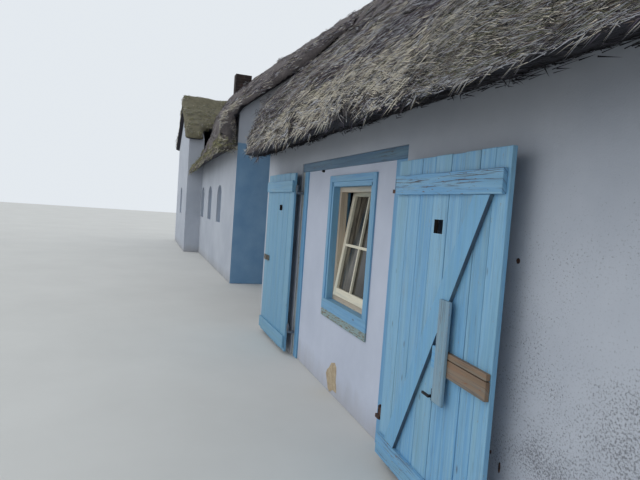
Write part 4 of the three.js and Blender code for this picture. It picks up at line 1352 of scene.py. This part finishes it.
for number, (label, start, end, brow, spots, length, thickness) in enumerate(NEAR_PARTS):
    lay_straw("near_straw_" + label, shells["near"], spots, front_part(start, end, 2.0 + 0.8 * length, brow),
              near_mix, toward_front, straw_sizes(length, thickness, lift=7, yaw=20), seed=31 + number)
lay_straw("near_straw_upper", shells["near"], 330, rest_of_front, near_mix, toward_front,
          straw_sizes(0.15, 0.0042, lift=3, count=40), seed=37)

# %% [markdown]
# ## Straw on the back slope, the next block and the wing
# These lie far from the camera or behind the house, so their stems are coarse and lie
# nearly flat. The front and the verges still get more than their share.


# %% Back slope, next block and wing
def outward_along_y(middle):
    """The way out of a roof whose ridge runs along the front. The next one is for a ridge across it."""
    return lambda place: Vector((0, -1 if place.y < middle else 1, 0))


def outward_along_x(middle):
    return lambda place: Vector((-1 if place.x < middle else 1, 0, 0))


def back_part(centre, normal):
    return float(centre.y >= NEAR_RIDGE_Y and normal.z > OVERHANG)


def any_outer(centre, normal):
    """All of the weathered side, with a larger share for the front and for a verge."""
    front_share = 1.6 if centre.y < plan_y(1.0) else 1.0
    verge_share = 2.5 if on_verge(normal) else 1.0
    return front_share * verge_share * (normal.z > -0.3)


lay_straw("near_straw_back", shells["near"], 340, back_part, near_mix, outward_along_y(NEAR_RIDGE_Y),
          straw_sizes(0.17, 0.0055, lift=2, count=36), seed=34)
next_mix = mix_above(NEXT_LIP, 0.35, "bright_moss", NEXT_VERGE_TOP)
lay_straw("next_straw", shells["next"], 480, any_outer, next_mix, outward_along_y(plan_y(2.9)),
          straw_sizes(0.11, 0.0048, lift=0, count=40), seed=35)
lay_straw("wing_straw", shells["wing"], 260, any_outer, lambda *spot: "olive", outward_along_x(plan_x(-12.2)),
          straw_sizes(0.10, 0.0052, lift=0, count=40), seed=36)

# %% [markdown]
# ## Straw along the edges
# The edges of a roof show most, against the sky and against the wall. So the next block's verge and front
# eave get short straws of their own, pale on the verge as bleached reed and as a painted highlight on its lit
# edge. The lip of the near block gets near-black ones on its underside, which are painted shade, and a few
# thin wisps stand out from it, most of them dark as painted shade too.


# %% Verge and eave of the next block
def along_verge(centre, normal):
    """The outer edge of the thatch over the raised gable."""
    return float(centre.x > plan_x(-4.44) and normal.x < 0.85 and normal.z > -0.3 and centre.z > 2.4)


def along_front_eave(centre, normal):
    return float(centre.y < plan_y(0.0) and centre.z < 2.62 and normal.z > -0.4)


def verge_mix(place, normal, draw):
    return "bleached" if place.z < NEXT_VERGE_TOP else "slope"


lay_straw("next_verge_straw", shells["next"], 150, along_verge, verge_mix, toward_front,
          straw_sizes(0.07, 0.0045, lift=3, count=40), seed=39)
lay_straw("next_eave_straw", shells["next"], 130, along_front_eave, lambda *spot: "bright_moss", toward_front,
          straw_sizes(0.09, 0.0045, lift=3, count=40), seed=40)


# %% Underside and wisps of the near lip
def under_lip(centre, normal):
    return float(plan_y(-0.34) < centre.y < plan_y(0.03) and normal.z < -0.5)


def lower_lip(centre, normal):
    return float(centre.y < NEAR_RIDGE_Y and centre.z < 2.12 and -0.75 < normal.z < 0.1)


def wisp_mix(place, normal, draw):
    return "eave" if draw.random() < 0.25 else "dark"


lay_straw("near_soffit_straw", shells["near"], 330, under_lip, lambda *spot: "under", toward_front,
          straw_sizes(0.09, 0.0036, lift=5, count=14, yaw=22), seed=42, sweep=lambda normal: -80)
lay_straw("near_wisps", shells["near"], 90, lower_lip, wisp_mix, toward_front,
          straw_sizes(0.075, 0.0024, lift=8, count=12, yaw=30), seed=41, sweep=lambda normal: -50)

# %% [markdown]
# ## Sizes
# The dressed house must stay inside the box of the plain one. Straw adds up fast, so the triangles are
# counted.

# %% Count the triangles
added = [o for o in scene.objects if o.type == "MESH" and o.name not in nodes and o.name != "studio_floor"]
triangles = {o.name: sum(len(p.vertices) - 2 for p in o.data.polygons) for o in added}
largest = max(triangles, key=triangles.get)
print("triangles added:", sum(triangles.values()), "largest:", largest, triangles[largest])
